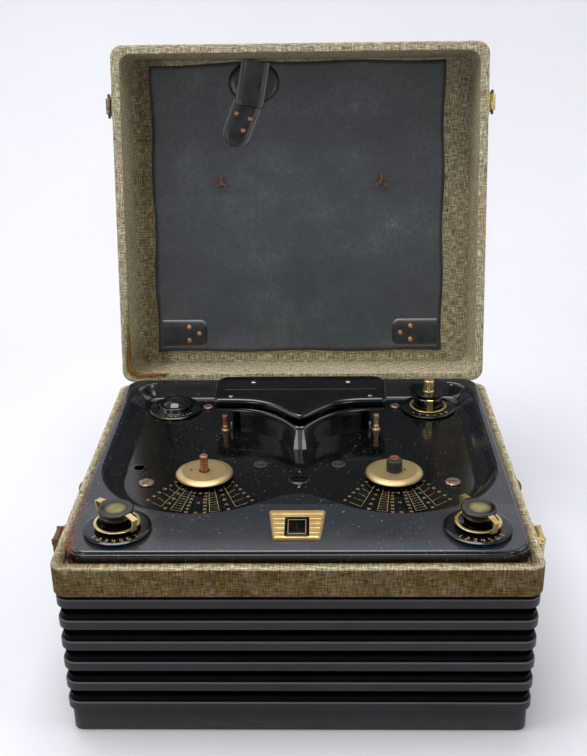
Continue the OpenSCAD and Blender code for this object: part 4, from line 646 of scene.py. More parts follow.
def reel_studs():
    """Cast studs with three prongs: a low turned hub, and prongs with round edges set a third of a turn apart."""
    hub = turned(soft([(0, 0.02), (3.4, 0.02), (3.0, 4.4), (2.2, 5.6), (0, 5.9)], 0.5, 4), 0, 0, 0, 24)
    prong = set_at(pillow(7.6, 3.4, 2.2, 1.5, 0.6), (4.6, 0, 3.4))
    star = [hub] + [set_at(prong, (0, 0, 0), turn) for turn in (-90, 30, 150)]
    grids = [p for x in (-92.5, 92.5) for p in spread_on_liner(star, x, 221.0, 0.0)]
    skin("reel_stud_stars", RUST, "lid", grids, ["reel_studs"], 60)


# Deck

def blend_up(a, b, k):
    """The larger of a and b with the change between them rounded over k."""
    return np.maximum(a, b) + np.clip(k - np.abs(a - b), 0, None) ** 2 / (4 * k)


def deck_height(x, y):
    """Height of the pressed deck and its depth share t. The border falls as 1.0 u + 1.2 u^2 to the front; the well
    is a hollow wall, depth 1 - (1 - e)^2.2 with e = 1.14 t^2 / (t + 0.14), where t grows with the distance inside both
    reels, the back part with its round corners, and the saddle between them."""
    saddle_x, saddle_y, blend, front, run = 60, 56, 22.0, -116, 54
    side = np.abs(x)
    wide = np.where(side > SPINDLE_X, WELL_R / (WELL_SIDE - SPINDLE_X), 1.0)
    reels = WELL_R - np.hypot((side - SPINDLE_X) * wide, np.minimum(y - SPINDLE_Y, 0))
    ax, ay = side - (WELL_SIDE - WELL_CORNER), y - (WELL_BACK - WELL_CORNER)
    far = np.hypot(np.maximum(ax, 0), np.maximum(ay, 0))
    steep = 1 + 1.8 * (np.maximum(ay, 0) / np.maximum(far, 0.01)) ** 2
    walls = (WELL_CORNER - far - np.minimum(np.maximum(ax, ay), 0)) * steep
    saddle = np.minimum(saddle_x - side, y - SPINDLE_Y + saddle_y)
    inside = blend_up(np.maximum(reels, np.minimum(walls, y - SPINDLE_Y)), saddle, blend)
    t = np.clip(np.minimum(inside, walls) / WELL_RUN, 0, 1)
    u = np.clip((front - y) / run, 0, 1.1)
    e = 1.14 * t * t / (t + 0.14)
    return BORDER - 1.0 * u - 1.2 * u * u - WELL_DEPTH * (1 - (1 - e) ** 2.2), t


def crowded(count):
    """Places from -1 to 1 that stand closer towards both ends: 1 - (1 - |a|)^1.35."""
    a = np.linspace(-1, 1, count)
    return np.sign(a) * (1 - (1 - np.abs(a)) ** 1.35)


def enamelled_deck():
    """Rows of the deck outline drawn in to the middle, at deck_height less two quarter rounds with a step between
    them at the edge, and a fine bead along the rear; a skirt below, cells left out at the holes, and rims round the
    open hole and the speed hub. The wear is a film on the border, most over the front: dust, and a painted reflection."""
    cols = columns(crowded(145), crowded(129), 9)
    q = np.linspace(0, np.pi / 2, 6)
    inset = np.r_[1.2 * (1 - np.cos(q)), 1.5 + 2.6 * (1 - np.cos(q)), np.linspace(4.9, 36, 44),
                  np.linspace(37, 84, 46), np.linspace(86, DECK_D / 2 - 0.1, 34)]
    fall = np.r_[2.3 + 1.2 * (1 - np.sin(q)), 2.6 * (1 - np.sin(q))]
    fall = np.r_[fall, np.zeros(len(inset) - len(fall))]
    top = loft(cols, inset, 0 * inset, DECK_W, DECK_D, DECK_R)
    x, y = top[..., 0], top[..., 1]
    height, t = deck_height(x, y)
    bead = 0.7 * np.exp(-((y - 165) / 1.3) ** 2) * np.clip((150 - np.abs(x)) / 14, 0, 1)
    # Film on the border, none in the wells or on the edge rounds: dust and painted reflection of the pale room
    dust = (1 - t) * np.where(y < -100, 1.0, 0.45) * (fall < 0.6)[:, None]
    top[..., 2] = height - fall[:, None] + bead
    mid = (top[:-1, :-1] + top[1:, 1:]) / 2
    keep = np.ones(mid.shape[:2], bool)
    for hx, hy, hr in ((-SPINDLE_X, SPINDLE_Y, 6), (SPINDLE_X, SPINDLE_Y, 6), (*SPEED_HUB, 7), (*CAPSTAN, 6),
                       (*SELECTOR_DIAL, 4), (*OUTPUT_DIAL, 4), (*TONE_DIAL, 4), (*OPEN_HOLE, 6)):
        keep &= np.hypot(mid[..., 0] - hx, mid[..., 1] - hy) > hr
    foot = loft(cols, [0, 2], [RIM - 8, RIM - 8], DECK_W, DECK_D, DECK_R)
    rim = soft([(5.0, -2), (5.0, 0.5), (6.2, 0.5), (7.6, 0.02), (11.5, 0.02)], 0.5, 4)
    hub = soft([(6.8, -2), (6.8, 1), (9.3, 1.2), (10.4, 0.02), (12.5, 0.02)], 0.6, 4)
    skin("enamelled_deck", ENAMEL, "case",
         [(top, None, keep, dust), np.concatenate([top[:1], foot]), turned(rim, *OPEN_HOLE, FLOOR, 40),
          turned(hub, *SPEED_HUB, FLOOR, 40)], ["deck_plate"], 55)


# Dials and knobs

def black_dials():
    """Plates with a round edge, undercut to a narrower foot that is sunk into the border, and a low boss on each."""
    r, bore, thick = 29, 3.05, 3
    boss = soft([(bore, thick), (8, thick), (8, 5.3), (bore, 5.3)], 0.4, 4)
    for node, place, z, sunk in (("output_dial", OUTPUT_DIAL, BORDER, 3.0), ("tone_dial", TONE_DIAL, BORDER, 3.0),
                                 ("selector_dial", SELECTOR_DIAL, FLOOR, 0)):
        plate = soft([(bore, -sunk), (r - 3.6, -sunk), (r - 3.4, -sunk / 3), (r, thick - 1.5), (r, thick - 0.8),
                      (r - 2.4, thick), (bore, thick)], np.array([0.5, 0.6, 0.3, 0.4, 0.7]), 5)
        skin(node + "_face", BAKELITE, "case",
             [turned(plate, *place, z, 96), turned(boss, *place, z, 40)], [node])


def level_eye():
    """The level dial with its bezel, the dark face in it, and the domed lens: z = h + k (1 - (r / R)^2)."""
    dial = soft([(0, 0), (29, 0), (29, 2), (26.6, 3), (19.5, 3), (17.5, 8), (13.1, 8), (13.1, 3), (0, 3)],
                np.array([0.4, 0.8, 0.8, 0.6, 1.2, 0.5, 0.2]), 5)
    skin("level_dial_bezel", BAKELITE, "case", [turned(dial, *LEVEL_DIAL, FLOOR, 96)], ["level_dial"])
    face = [(0, 3.05), (12.9, 3.05), (12.9, 3.4), (0, 3.4)]
    skin("level_face", FACE, "case", [turned(face, *LEVEL_DIAL, FLOOR, 48)])
    r = np.linspace(13, 0, 14)
    dome = np.r_[[[0, 3.6], [13, 3.6]], np.stack([r, 7 + 5 * (1 - (r / 13) ** 2)], -1)]
    skin("level_lens_dome", SMOKED, "case", [turned(dome, *LEVEL_DIAL, FLOOR, 64)], ["level_lens"], 60)


def front_knobs():
    """Knobs widening upwards to a thin rolled lip; the top is a shallow dish with worn gilt card in its middle."""
    grip = soft([(0, 0), (11.8, 0), (14.9, 13.2), (15.3, 14.2), (14.7, 15), (13.2, 14.9), (9.2, 14.4), (0, 14.3)],
                np.array([0.5, 0.5, 0.3, 0.4, 0.5, 1.2]), 5)
    r = np.linspace(10.2, 0.05, 14)
    card = np.r_[[[0, 14.32], [10.2, 14.5]], np.stack([r, 14.56 + 0 * r], -1)]
    worn = np.clip((card[:, 0] - 4.5) / 5.2, 0, 1)[:, None] ** 1.4
    z = BORDER + KNOB_LIFT
    for node, place in (("output_knob", OUTPUT_DIAL), ("tone_knob", TONE_DIAL)):
        skin(node + "_grip", BAKELITE, node, [turned(grip, *place, z, 72)], [node])
        skin(node + "_disc", TOPS, node, [(turned(card, *place, z, 48), None, None, worn)])


def folded_strip(path, width, thick):
    """A strip of sheet: a line in the plane of X and Z, thickened to both sides, carried across Y and closed."""
    p = np.asarray(path, float)
    way = np.gradient(p, axis=0)
    out = np.stack([-way[:, 1], way[:, 0]], -1) / np.linalg.norm(way, axis=1)[:, None] * thick / 2

    def at(line, y):
        return np.stack([line[:, 0], 0 * line[:, 0] + y, line[:, 1]], -1)
    loop = np.concatenate([p + out, (p - out)[::-1], (p + out)[:1]])
    sides = [np.stack([at(p + out, y), at(p - out, y)]) for y in (-width / 2, width / 2)]
    return [np.stack([at(loop, -width / 2), at(loop, width / 2)])] + sides


def pointer_rings():
    """A black dished hub with a thin stamped rim on it, whose pointers fold out, up, and in again over the knob. The
    rear ring lies low and has one upright pointer."""
    over_knob = [(19.0, 4.0), (23.4, 4.4), (25.6, 15.8), (16.6, 17.2)]
    upright = [(17.9, 0.4), (18.2, 13.6), (18.9, 14.4)]
    for node, place, z, top, path, width, turns in (
            ("output_ring", OUTPUT_DIAL, BORDER + RING_LIFT, 3.6, over_knob, 5.2, (137, 317)),
            ("tone_ring", TONE_DIAL, BORDER + RING_LIFT, 3.6, over_knob, 5.2, (116, 296)),
            ("selector_ring", SELECTOR_DIAL, FLOOR + RING_LIFT, 0.4, upright, 6.5, (-90,))):
        dish = soft([(8.05, 0), (16.4, 0), (18.2, top), (17.0, top + 0.4), (13.4, 1.2), (8.05, 0.8), (8.05, 0)], 0.3, 3)
        skin(node + "_dish", BAKELITE, node, [turned(dish, *place, z, 72)])
        rim = soft([(17.2, top), (19.8, top - 0.1), (19.8, top + 0.6), (17.2, top + 0.9), (17.2, top)], 0.3, 4)
        strip = folded_strip(soft(path, 1.2, 6), width, 0.9)
        pointers = [set_at(g, (*place, z), turn) for turn in turns for g in strip]
        skin(node + "_pointer", BRASS, node, [turned(rim, *place, z, 72)] + pointers, [node])


def selector_knob():
    """A stepped black hub, and the brass bush and shaft that stand up through it."""
    z = FLOOR + KNOB_LIFT
    hub = soft([(3.1, 0), (15.4, 0), (15.4, 9.4), (13, 10.2), (11.6, 10.4), (11.6, 11.2), (13.4, 11.4), (13.4, 14),
                (3.1, 14)], np.array([0.5, 1.2, 0.8, 0.3, 0.3, 0.4, 0.8]), 5)
    skin("selector_hub_body", BAKELITE, "selector", [turned(hub, *SELECTOR_DIAL, z, 72)],
         ["selector_hub"])
    bush = soft([(0, -22), (3, -22), (3, 14), (6, 14.02), (6, 16), (5.4, 16.5), (5.4, 26.8), (4.6, 28), (0, 28)],
                0.4, 4)
    skin("selector_bush", BRASS, "selector", [turned(bush, *SELECTOR_DIAL, z, 48)], ["selector_shaft"])


def turntables():
    """Spun discs: a flat matt middle, a broad round shoulder and a thin rim, brown at the edge, on a narrow hub; the
    underside and the hub are painted dark brown as shade under the disc. A small blind hole near the spindle is a flat
    disc of painted shade."""
    z, top = FLOOR + 2.4, 6.0
    line = soft([(5.1, 0), (15, 0), (15, 2.6), (26.6, 2.6), (27.6, 2.9), (27.4, 3.5), (24.6, 5.0), (20.8, top),
                 (20.2, top), (5.1, top)], np.array([0.4, 0.4, 0.2, 0.3, 0.6, 2.6, 0.2, 0.2]), 6)
    r, h = line.T
    brown = np.maximum(np.clip((r - 25.2) / 2.2, 0, 0.85) ** 1.2, 0.3 * np.exp(-((r - 20.5) / 0.4) ** 2))
    # Painted shade: the underside and the hub, below 2.7 mm, are dark brown
    brown = np.maximum(brown, 0.95 * (h < 2.7))[:, None]
    for side, x, hole in (("left", -SPINDLE_X, -12.6), ("right", SPINDLE_X, 10.0)):
        node, body = side + "_turntable", side + "_reel"
        skin(node + "_disc", GILT, body,
             [(turned(line, x, SPINDLE_Y, z, 96), None, None, brown)], [node])
        # Painted shade: the blind hole is a flat dark disc
        pit = turned([(0, top), (1.3, top), (1.3, top + 0.06), (0, top + 0.06)], x + hole, SPINDLE_Y + 1, z, 20)
        skin(node + "_pit", SLOT_AND_HOLE_SHADE, body, [pit])


def cap_of_right_spindle():
    """A rubber cap with a groove round it, hollow for the spindle and bored for its screw."""
    line = soft([(4, 0), (7.5, 0), (7.5, 3), (7.2, 3.4), (7.2, 4), (7.5, 4.4), (7.5, 11.4), (6.2, 13), (1.6, 13),
                 (1.6, 10), (4, 10), (4, 0)], 0.5, 4)
    skin("right_spindle_cap", RUBBER, "right_reel", [turned(line, SPINDLE_X, SPINDLE_Y, FLOOR + 7, 48)],
         ["spindle_cap"])


def screw_heads():
    """Cheese heads with soft edges; the slots are thin dark bars let into them, painted shade in place of the slot
    recesses.
    """
    heads, bars = [], []
    for x, y, r, h in ((-144.5, -34, 7.5, 2), (144.5, -34, 7.5, 2), (-101, 132, 5.5, 2.4), (101, 132, 5.5, 2.4)):
        head = soft([(0, 0), (r, 0), (r, h * 0.6), (r - 1.2, h), (0, h)], 0.8, 5)
        heads.append(turned(head, x, y, FLOOR, 40))
        bars.append(set_at(pillow(2 * r - 2.4, 1.3, 0.12, 0.3, 0.04), (x, y, FLOOR + h - 0.06), 25 + x))
    skin("deck_screw_heads", RUSTY, "case", heads, ["deck_screws"])
    heads = []
    head = soft([(0, -1.5), (3, -1.5), (3, 0.7), (1.8, 1.2), (0, 1.2)], 0.7, 5)
    for x, y, z in ((-POST_X, POST_Y, COVER_TOP), (POST_X, POST_Y, COVER_TOP),
                    (-STUB_X, STUB_Y, COVER_TOP - 2.2), (STUB_X, STUB_Y, COVER_TOP - 2.2)):
        heads.append(turned(head, x, y, z, 28))
        bars.append(set_at(pillow(4.6, 0.8, 0.12, 0.3, 0.04), (x, y, z + 1.13), 60 + 2 * x))
    skin("cover_screw_heads", STEEL, "case", heads, ["cover_screws"])
    skin("screw_slots", SLOT_AND_HOLE_SHADE, "case", bars)


def rubber_plugs():
    """Plugs with a flat flange and a small knob in the middle."""
    line = soft([(0, 0), (7, 0), (7, 0.7), (6.2, 1.2), (4.4, 1.2), (4.2, 0.8), (3.6, 0.8), (3.4, 2.2), (2.8, 2.4),
                 (0, 2.4)], 0.4, 4)
    skin("rubber_plugs", RUBBER, "case", [turned(line, x, 2, FLOOR, 40) for x in (-38, 38)], ["deck_plugs"])


# Head block

# Centres and radius of the arcs at the shield's back; the front edge's place at the ends, and the reach of its nose
ARC_X, ARC_Y, ARC_R = 90.0, -44.0, 128.0
SHIELD_END, SHIELD_NOSE = 80.0, 40.2
# Where the top of the cover starts to slope, and its slope
SLOPE_Y, SLOPE = 100, np.tan(np.radians(6))


def arc_back(x):
    """Place y of the shield's back, an arc round the nearer arc centre."""
    return ARC_Y + np.sqrt(np.maximum(ARC_R ** 2 - (np.abs(x) - ARC_X) ** 2, 0))


def cover_front(x):
    """Front edge of the cover in plan: two hollow curves, y = 77 - 32 exp(-(|x| / 26)^1.6), meeting in a nose."""
    return 77 - 32 * np.exp(-(np.abs(x) / 26) ** 1.6)


def shield_front(x):
    """Top front edge of the shield in plan, as cover_front but with a sharper nose."""
    return SHIELD_END - SHIELD_NOSE * np.exp(-(np.abs(x) / 28.5) ** 1.3)


def cover_height(y):
    """Height of the cover's top: level at the back, then sloping down to the front by tan 6 degrees."""
    return COVER_TOP - np.maximum(SLOPE_Y - y, 0) * SLOPE


def cover_outline(inset):
    """Plan of the head cover drawn in by inset: the front curve, straight ends and round rear corners, resampled
    evenly by length."""
    w, r, near_r, rear = 89 - inset, 14 - inset, 4, 133 - inset
    x = np.linspace(-w, w, 181)
    slope = np.gradient(cover_front(x), x)
    front = np.stack([x, cover_front(x) + inset * np.sqrt(1 + slope ** 2)], -1)
    q = np.radians(np.linspace(0, 90, 9))
    near = np.stack([w - near_r + near_r * np.sin(q), cover_front(w) + inset + near_r - near_r * np.cos(q)], -1)
    front = front[np.abs(x) < w - near_r - 0.2]
    right = np.stack([w - r + r * np.cos(q), rear - r + r * np.sin(q)], -1)
    line = np.vstack([near[::-1] * [-1, 1], front, near, right, right[::-1] * [-1, 1], near[-1:] * [-1, 1]])
    s = np.r_[0, np.cumsum(np.hypot(*np.diff(line, axis=0).T))]
    even = np.linspace(0, s[-1], 421)
    return np.stack([np.interp(even, s, line[:, 0]), np.interp(even, s, line[:, 1])], -1)


def moulded_head_cover():
    """The cover's outline as rows: the lip, a fat round edge raised a little over the top, then drawn in to the
    middle at cover_height; inside, the same drawn in by the wall. A rear wall, two posts and two stubs stand under
    it, and a fine bead crosses the top where it starts to slope."""
    q = np.linspace(0, np.pi / 2, 7)
    wall_t, edge_r = 3.0, 3.6
    rows = [np.column_stack([o, 0 * o[:, 0] + LIP]) for o in (cover_outline(wall_t), cover_outline(0.7))]
    for inset, rise in zip(np.r_[edge_r * (1 - np.cos(q)), 5.2, 6.8, 9.0],
                           np.r_[1.5 - edge_r * (1 - np.sin(q)), 1.25, 0.6, 0]):
        o = cover_outline(inset)
        rows.append(np.column_stack([o, np.maximum(cover_height(o[:, 1]) + rise, LIP + 0.6)]))
    centre = np.array([0.0, 104.0])
    inmost, inner = rows[-1][:, :2], cover_outline(wall_t)
    for k in np.linspace(0.96, 0.02, 28):
        o = centre + k * (inmost - centre)
        rows.append(np.column_stack([o, cover_height(o[:, 1])]))
    under = [np.column_stack([centre + k * (inner - centre), np.full(len(inner), z)])
             for k, z in ((1, LIP), (1, LIP + 1.0), (0.6, LIP + 1.5), (0.02, LIP + 1.5))]
    tall = LIP + 1 - FLOOR
    wall = set_at(pillow(150, wall_t, tall, 1.2, 0.4), (0, 131.4, FLOOR))
    bead = set_at(pillow(158, 1.1, 0.9, 0.4, 0.35), (0, SLOPE_Y, COVER_TOP - 0.4))
    posts = [turned([(0, 0), (5, 0), (5, tall), (0, tall)], x, POST_Y, FLOOR, 28) for x in (-POST_X, POST_X)]
    stub = soft([(0, -3), (5, -3), (5, 1), (0, 1)], 0.6, 4)
    stubs = [turned(stub, x, STUB_Y, LIP, 28) for x in (-STUB_X, STUB_X)]
    skin("moulded_head_cover", BAKELITE, "case",
         [np.stack(rows), np.stack(under), wall, bead] + posts + stubs, ["head_cover"], 40)


def shield_rows(x, tall, foot):
    """Rows of the shield over places x: a face that leans back to the top, a round top edge, a top and a back.
    The nose is cut by two flat facets with a groove between them; foot is the lowest height drawn, and the upper rows
    grow by up to tall towards the ends."""
    r, q = 2.8, np.linspace(0, np.pi / 2, 7)
    off = np.r_[np.zeros(6), r * (1 - np.cos(q))[1:]]
    up = np.r_[np.linspace(foot, SHIELD_H - r, 6), (SHIELD_H - r + r * np.sin(q))[1:]]
    edge = shield_front(x)
    lean = 4 + 11 * np.exp(-(x / 12) ** 2)
    h = np.clip(up / SHIELD_H, 0, 1)[:, None]
    face = edge - lean * (1 - h)
    facet = 41.6 - 8.5 * (1 - h) + 0.22 * np.abs(x) + 0.8 * np.exp(-(x / 0.9) ** 2)
    y = np.maximum(face, facet) + off[:, None]
    back = np.maximum(arc_back(x), edge + 3.2)
    y = np.vstack([y, back, back])
    grow = 1 + tall * (edge - SHIELD_END + SHIELD_NOSE) / SHIELD_NOSE / SHIELD_H
    rise = np.r_[up, SHIELD_H, foot][:, None]
    return np.stack([x + 0 * y, y, FLOOR + rise * np.where(rise > 12, grow, 1)], -1)


def moulded_front_shield():
    """Two hollow faces with a nose between them, whose top rises a little to the ends, and the thin flange that
    runs on at both ends to a short cheek."""
    tall = 4.4
    x = np.sort(np.r_[np.linspace(-62, 62, 155), np.linspace(-1.6, 1.6, 9)])
    p = shield_rows(x, tall, 0.0)
    grids = [p, np.stack([p[-1], p[0]])]
    half = len(p) // 2 + 1
    grids += [np.stack([p[:half, i], p[::-1][:half, i]]) for i in (0, -1)]
    cheek = pillow(3.4, 12, LIP - SHIELD_TOP, 1.4, 1.0)
    for s in (-1, 1):
        f = shield_rows(s * np.linspace(61.5, 86, 30), tall, 18.2)
        f = np.concatenate([f, f[:1]])
        tip = np.stack([f[:, -1], np.broadcast_to(f[:, -1].mean(0), f[:, -1].shape)])
        grids += [f, tip, set_at(cheek, (s * 86.6, 87.5, SHIELD_TOP + 1))]
    skin("moulded_front_shield", BAKELITE, "case", grids, ["front_shield"], 40)


def guide_posts():
    """Turned guide posts with a foot and a head, and the thin bright pin beside each."""
    line = soft([(0, 0), (4.5, 0), (4.5, 2), (3, 2.4), (3, 6), (2.4, 6.4), (2.4, 13.6), (3, 14), (3, 18.2),
                 (0, 18.5)], 0.4, 4)
    for s, finish, name in ((-1, COPPER, "left"), (1, GILT, "right")):
        post = turned(line, s * GUIDE_X, GUIDE_Y, FLOOR, 32)
        piece = skin("tape_guide_" + name, finish, "case", [post])
        if s > 0:
            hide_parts("tape_guides")
    pin = soft([(0, 0), (1.2, 0), (1.2, 9.6), (0, 10)], 0.3, 3)
    skin("tape_guide_pins", STEEL, "case",
         [turned(pin, s * GUIDE_PIN_X, GUIDE_Y, FLOOR, 16) for s in (-1, 1)])


# Side fittings

def on_side(p, s, y, z, out=0.0):
    """A piece drawn lying flat, stood on the left (s = -1) or right side of the case: its x runs along the case, its y
    up and its z outwards."""
    return np.stack([s * (CASE_W / 2 + out + p[..., 2]), y + p[..., 0], z + p[..., 1]], -1)


def lying_rod(half, r, bore, s, z, out):
    """A rod or a tube of radius r, half long to each side of the latch, its axis along the side of the case."""
    line = [(bore, -half), (r, -half), (r, half), (bore, half)] + [(bore, -half)] * (bore > 0)
    p = turned(soft(line, 0.5, 4), 0, 0, 0, 32)
    return np.stack([s * (CASE_W / 2 + out + p[..., 0]), LATCH_Y + p[..., 2], z + p[..., 1]], -1)


def side_latches():
    """Latch plates with their ears and pins, and hasps of a barrel and a thick flat tongue. The lid's catches are
    spools on a pin between two ears. Those at the left are rusted."""
    for s, side, finish in ((-1, "left", RUST), (1, "right", BRASS)):
        z, out = RIM - 7, 5.5
        fixed = [on_side(pillow(28, 24, 1.5, 2.5, 0.5), s, LATCH_Y, RIM - 15), lying_rod(11.3, 1.2, 0, s, z, out)]
        fixed += [on_side(pillow(2, 6, 8.5, 0.9, 0.4), s, LATCH_Y + k * 10.3, z) for k in (-1, 1)]
        piece = skin("latch_plate_" + side, finish, "case", fixed)
        tongue = on_side(pillow(18, 15.5, 4.4, 2.5, 1.0), s, LATCH_Y, z - 10.2, 4.3)
        skin("latch_hasp_" + side, finish, side + "_hasp", [lying_rod(9, 3, 1.25, s, z, out), tongue],
             [side + "_hasp"])
        z, out = RIM + 16.1, 5.6
        spool = [on_side(pillow(28, 20, 1.5, 3.0, 0.5), s, LATCH_Y, RIM + 16.6), lying_rod(8.4, 3.4, 1.5, s, z, out)]
        catch = skin("lid_catch_" + side, RUSTY if s < 0 else BRASS, "lid", [lid(p) for p in spool])
        ears = [on_side(pillow(1.8, 5, 6.8, 0.8, 0.4), s, LATCH_Y + k * 9.6, z) for k in (-1, 1)]
        skin("lid_catch_pin_" + side, IRON, "lid",
             [lid(p) for p in ears + [lying_rod(13, 1.5, 0, s, z, out)]])
        if s > 0:
            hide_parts("latch_plates")
            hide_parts("lid_catches")


# Badge and gold marks

def gilt_badge():
    """A trapezoid plate with fine ridges across it, z = top + 0.28 |sin|^0.6, and a plain dark panel in a frame."""
    front, deep, middle = -157, 45, -140
    s, t = np.meshgrid(np.linspace(-1, 1, 61), np.linspace(0, 1, 121))
    half = 20 + 5 * t - 1.6 * (1 - np.clip(np.minimum(t, 1 - t) / 0.05, 0, 1)) ** 2
    x, y = s * half, front + deep * t
    edge = np.minimum(half * (1 - np.abs(s)), deep * np.minimum(t, 1 - t))
    lift = np.clip(edge / 1.2, 0, 1) ** 0.5
    ridge = 0.28 * np.abs(np.sin(np.pi * (y - front) / 2.5)) ** 0.6 * (edge > 1.6)
    top = np.stack([x, y, BORDER - 0.2 + 1.7 * lift + ridge], -1)
    foot = np.stack([x, y, 0 * x + BORDER - 3.5], -1)
    walls = [np.concatenate([p[0], p[1:, -1], p[-1, -2::-1], p[-2::-1, 0]]) for p in (foot, top)]
    skin("gilt_badge", ROLLED, "case", [top, foot, np.stack(walls)], ["badge_plate"], 40)
    panel = set_at(pillow(21, 31, 0.5, 1.2, 0.2), (0, middle, BORDER + 1.5))
    skin("badge_panel", BAKELITE, "case", [panel])
    bars = [set_at(pillow(w, d, 0.3, 0.3, 0.1), (x, y, BORDER + 1.75)) for w, d, x, y in
            ((15, 0.8, 0, middle - 11), (15, 0.8, 0, middle + 11), (0.8, 22.8, -7.5, middle), (0.8, 22.8, 7.5, middle))]
    skin("badge_frame", ROLLED, "case", bars)


def inked(lines, width, z):
    """Thin strips of ink: each line a-b becomes four corners half a width to each side, lying at height z."""
    lines = np.asarray(lines, float)
    way = lines[:, 1] - lines[:, 0]
    way /= np.linalg.norm(way, axis=1)[:, None]
    out = np.stack([-way[:, 1], way[:, 0]], -1) * width / 2
    a, b = lines[:, 0], lines[:, 1]
    p = np.stack([np.stack([a + out, a - out], 1), np.stack([b + out, b - out], 1)], 1)
    return np.concatenate([p, np.full(p.shape[:-1] + (1,), z)], -1)


# Strokes of the digits on a cell 2 wide and 4 high
STROKES = {
    "0": [(0, 0, 2, 0), (2, 0, 2, 4), (2, 4, 0, 4), (0, 4, 0, 0)], "1": [(1, 0, 1, 4)],
    "2": [(0, 4, 2, 4), (2, 4, 2, 2), (2, 2, 0, 2), (0, 2, 0, 0), (0, 0, 2, 0)],
    "3": [(0, 4, 2, 4), (2, 4, 2, 0), (2, 0, 0, 0), (0, 2, 2, 2)],
    "4": [(0, 4, 0, 2), (0, 2, 2, 2), (2, 4, 2, 0)],
    "5": [(2, 4, 0, 4), (0, 4, 0, 2), (0, 2, 2, 2), (2, 2, 2, 0), (2, 0, 0, 0)],
    "6": [(2, 4, 0, 4), (0, 4, 0, 0), (0, 0, 2, 0), (2, 0, 2, 2), (2, 2, 0, 2)],
    "7": [(0, 4, 2, 4), (2, 4, 1, 0)],
    "8": [(0, 0, 2, 0), (2, 0, 2, 4), (2, 4, 0, 4), (0, 4, 0, 0), (0, 2, 2, 2)],
    "9": [(2, 2, 0, 2), (0, 2, 0, 4), (0, 4, 2, 4), (2, 4, 2, 0), (2, 0, 0, 0)],
}


def figures(word, x, y, turn, high):
    """Strokes of a number centred at x, y, turned in degrees, high mm tall."""
    strokes = np.array([np.array(s) + [3 * i, 0, 3 * i, 0] for i, c in enumerate(word) for s in STROKES[c]], float)
    strokes = strokes.reshape(-1, 2, 2) - [1.5 * len(word) - 0.5, 2]
    c, s = np.cos(np.radians(turn)), np.sin(np.radians(turn))
    return strokes @ np.array([[c, s], [-s, c]]) * high / 4 + [x, y]


def polar(x, y, r, a):
    """A point at distance r and angle a, in degrees, from x, y."""
    a = np.radians(a)
    return np.stack([x + r * np.cos(a), y + r * np.sin(a)], -1)


def gold_marks():
    """Plain scales in gold ink. In front of each turntable a fan of ladders: pairs of lines that point to a place
    behind the spindle, with rungs across them, and columns of small numbers between. Numbers round the dials."""
    strips = []
    on_floor, over_dial = FLOOR + 0.06, 3.06
    fan_y, near, far, last = 11.5, 24.0, 63.0, 65.0

    def reach(a, r):
        """Distance from the fan's centre at angle a to the circle of radius r round the spindle."""
        b = (SPINDLE_Y - fan_y) * np.sin(np.radians(a))
        return b + np.sqrt(b * b - (SPINDLE_Y - fan_y) ** 2 + r * r)
    for s in (-1, 1):
        fan_x = s * SPINDLE_X
        for rays, across, rungs in (((248.4,), (240.5, 248.4), 5), ((254.4, 260.6), (254.4, 260.6), 9),
                                    ((275.9, 281.2), (275.9, 281.2), 9), ((290.5,), (290.5, 298.5), 5)):
            # The right fan is the left one mirrored
            rays, across = (np.array(v) if s < 0 else 540 - np.array(v) for v in (rays, across))
            ends = [polar(fan_x, fan_y, reach(rays, r), rays) for r in (near, far)]
            strips.append(inked(np.stack(ends, 1), 0.28, on_floor))
            start, stop = reach(across, near), reach(across, far)
            r = start + (stop - start) * np.linspace(0.16, 1, rungs)[:, None]
            strips.append(inked(polar(fan_x, fan_y, r, across[None]), 0.22, on_floor))
        for a, count in ((237.5, 6), (251.2, 5), (263.4, 7), (268.6, 3), (273.2, 7), (286.0, 5), (301.5, 6)):
            a = a if s < 0 else 540 - a
            for i, k in enumerate(np.linspace(0.12, 0.96, count)):
                r = reach(a, near) + k * (reach(a, last) - reach(a, near))
                word = figures(str(5 * i + 10), *polar(fan_x, fan_y, r, a), a + 90, 2.3)
                strips.append(inked(word, 0.26, on_floor))
    for place, z, high, r, words in ((OUTPUT_DIAL, BORDER, 4.4, 24.2, "1234567"),
                                     (TONE_DIAL, BORDER, 4.4, 24.2, "1234567"),
                                     (SELECTOR_DIAL, FLOOR, 3.2, 24.0, "123456"),
                                     (LEVEL_DIAL, FLOOR, 2.4, 24.2, "1234567890")):
        for a, word in zip(np.linspace(226, 318, len(words)), words):
            strips.append(inked(figures(word, *polar(*place, r, a), a + 90, high), 0.11 * high, z + over_dial))
    for word, x, y in (("1", 0, -12), ("2", 0, -41)):
        strips.append(inked(figures(word, x, y, 0, 3.2), 0.6, on_floor))
    skin("gold_marks", INK, "case", strips, closed=False)


ribbed_body()
cloth_band()
cloth_lid()
leatherette_liner()
leather_straps()
rivet_heads()
reel_studs()
enamelled_deck()
black_dials()
level_eye()
front_knobs()
pointer_rings()
selector_knob()
turntables()
cap_of_right_spindle()
screw_heads()
rubber_plugs()
moulded_head_cover()
moulded_front_shield()
guide_posts()
side_latches()
gilt_badge()
gold_marks()

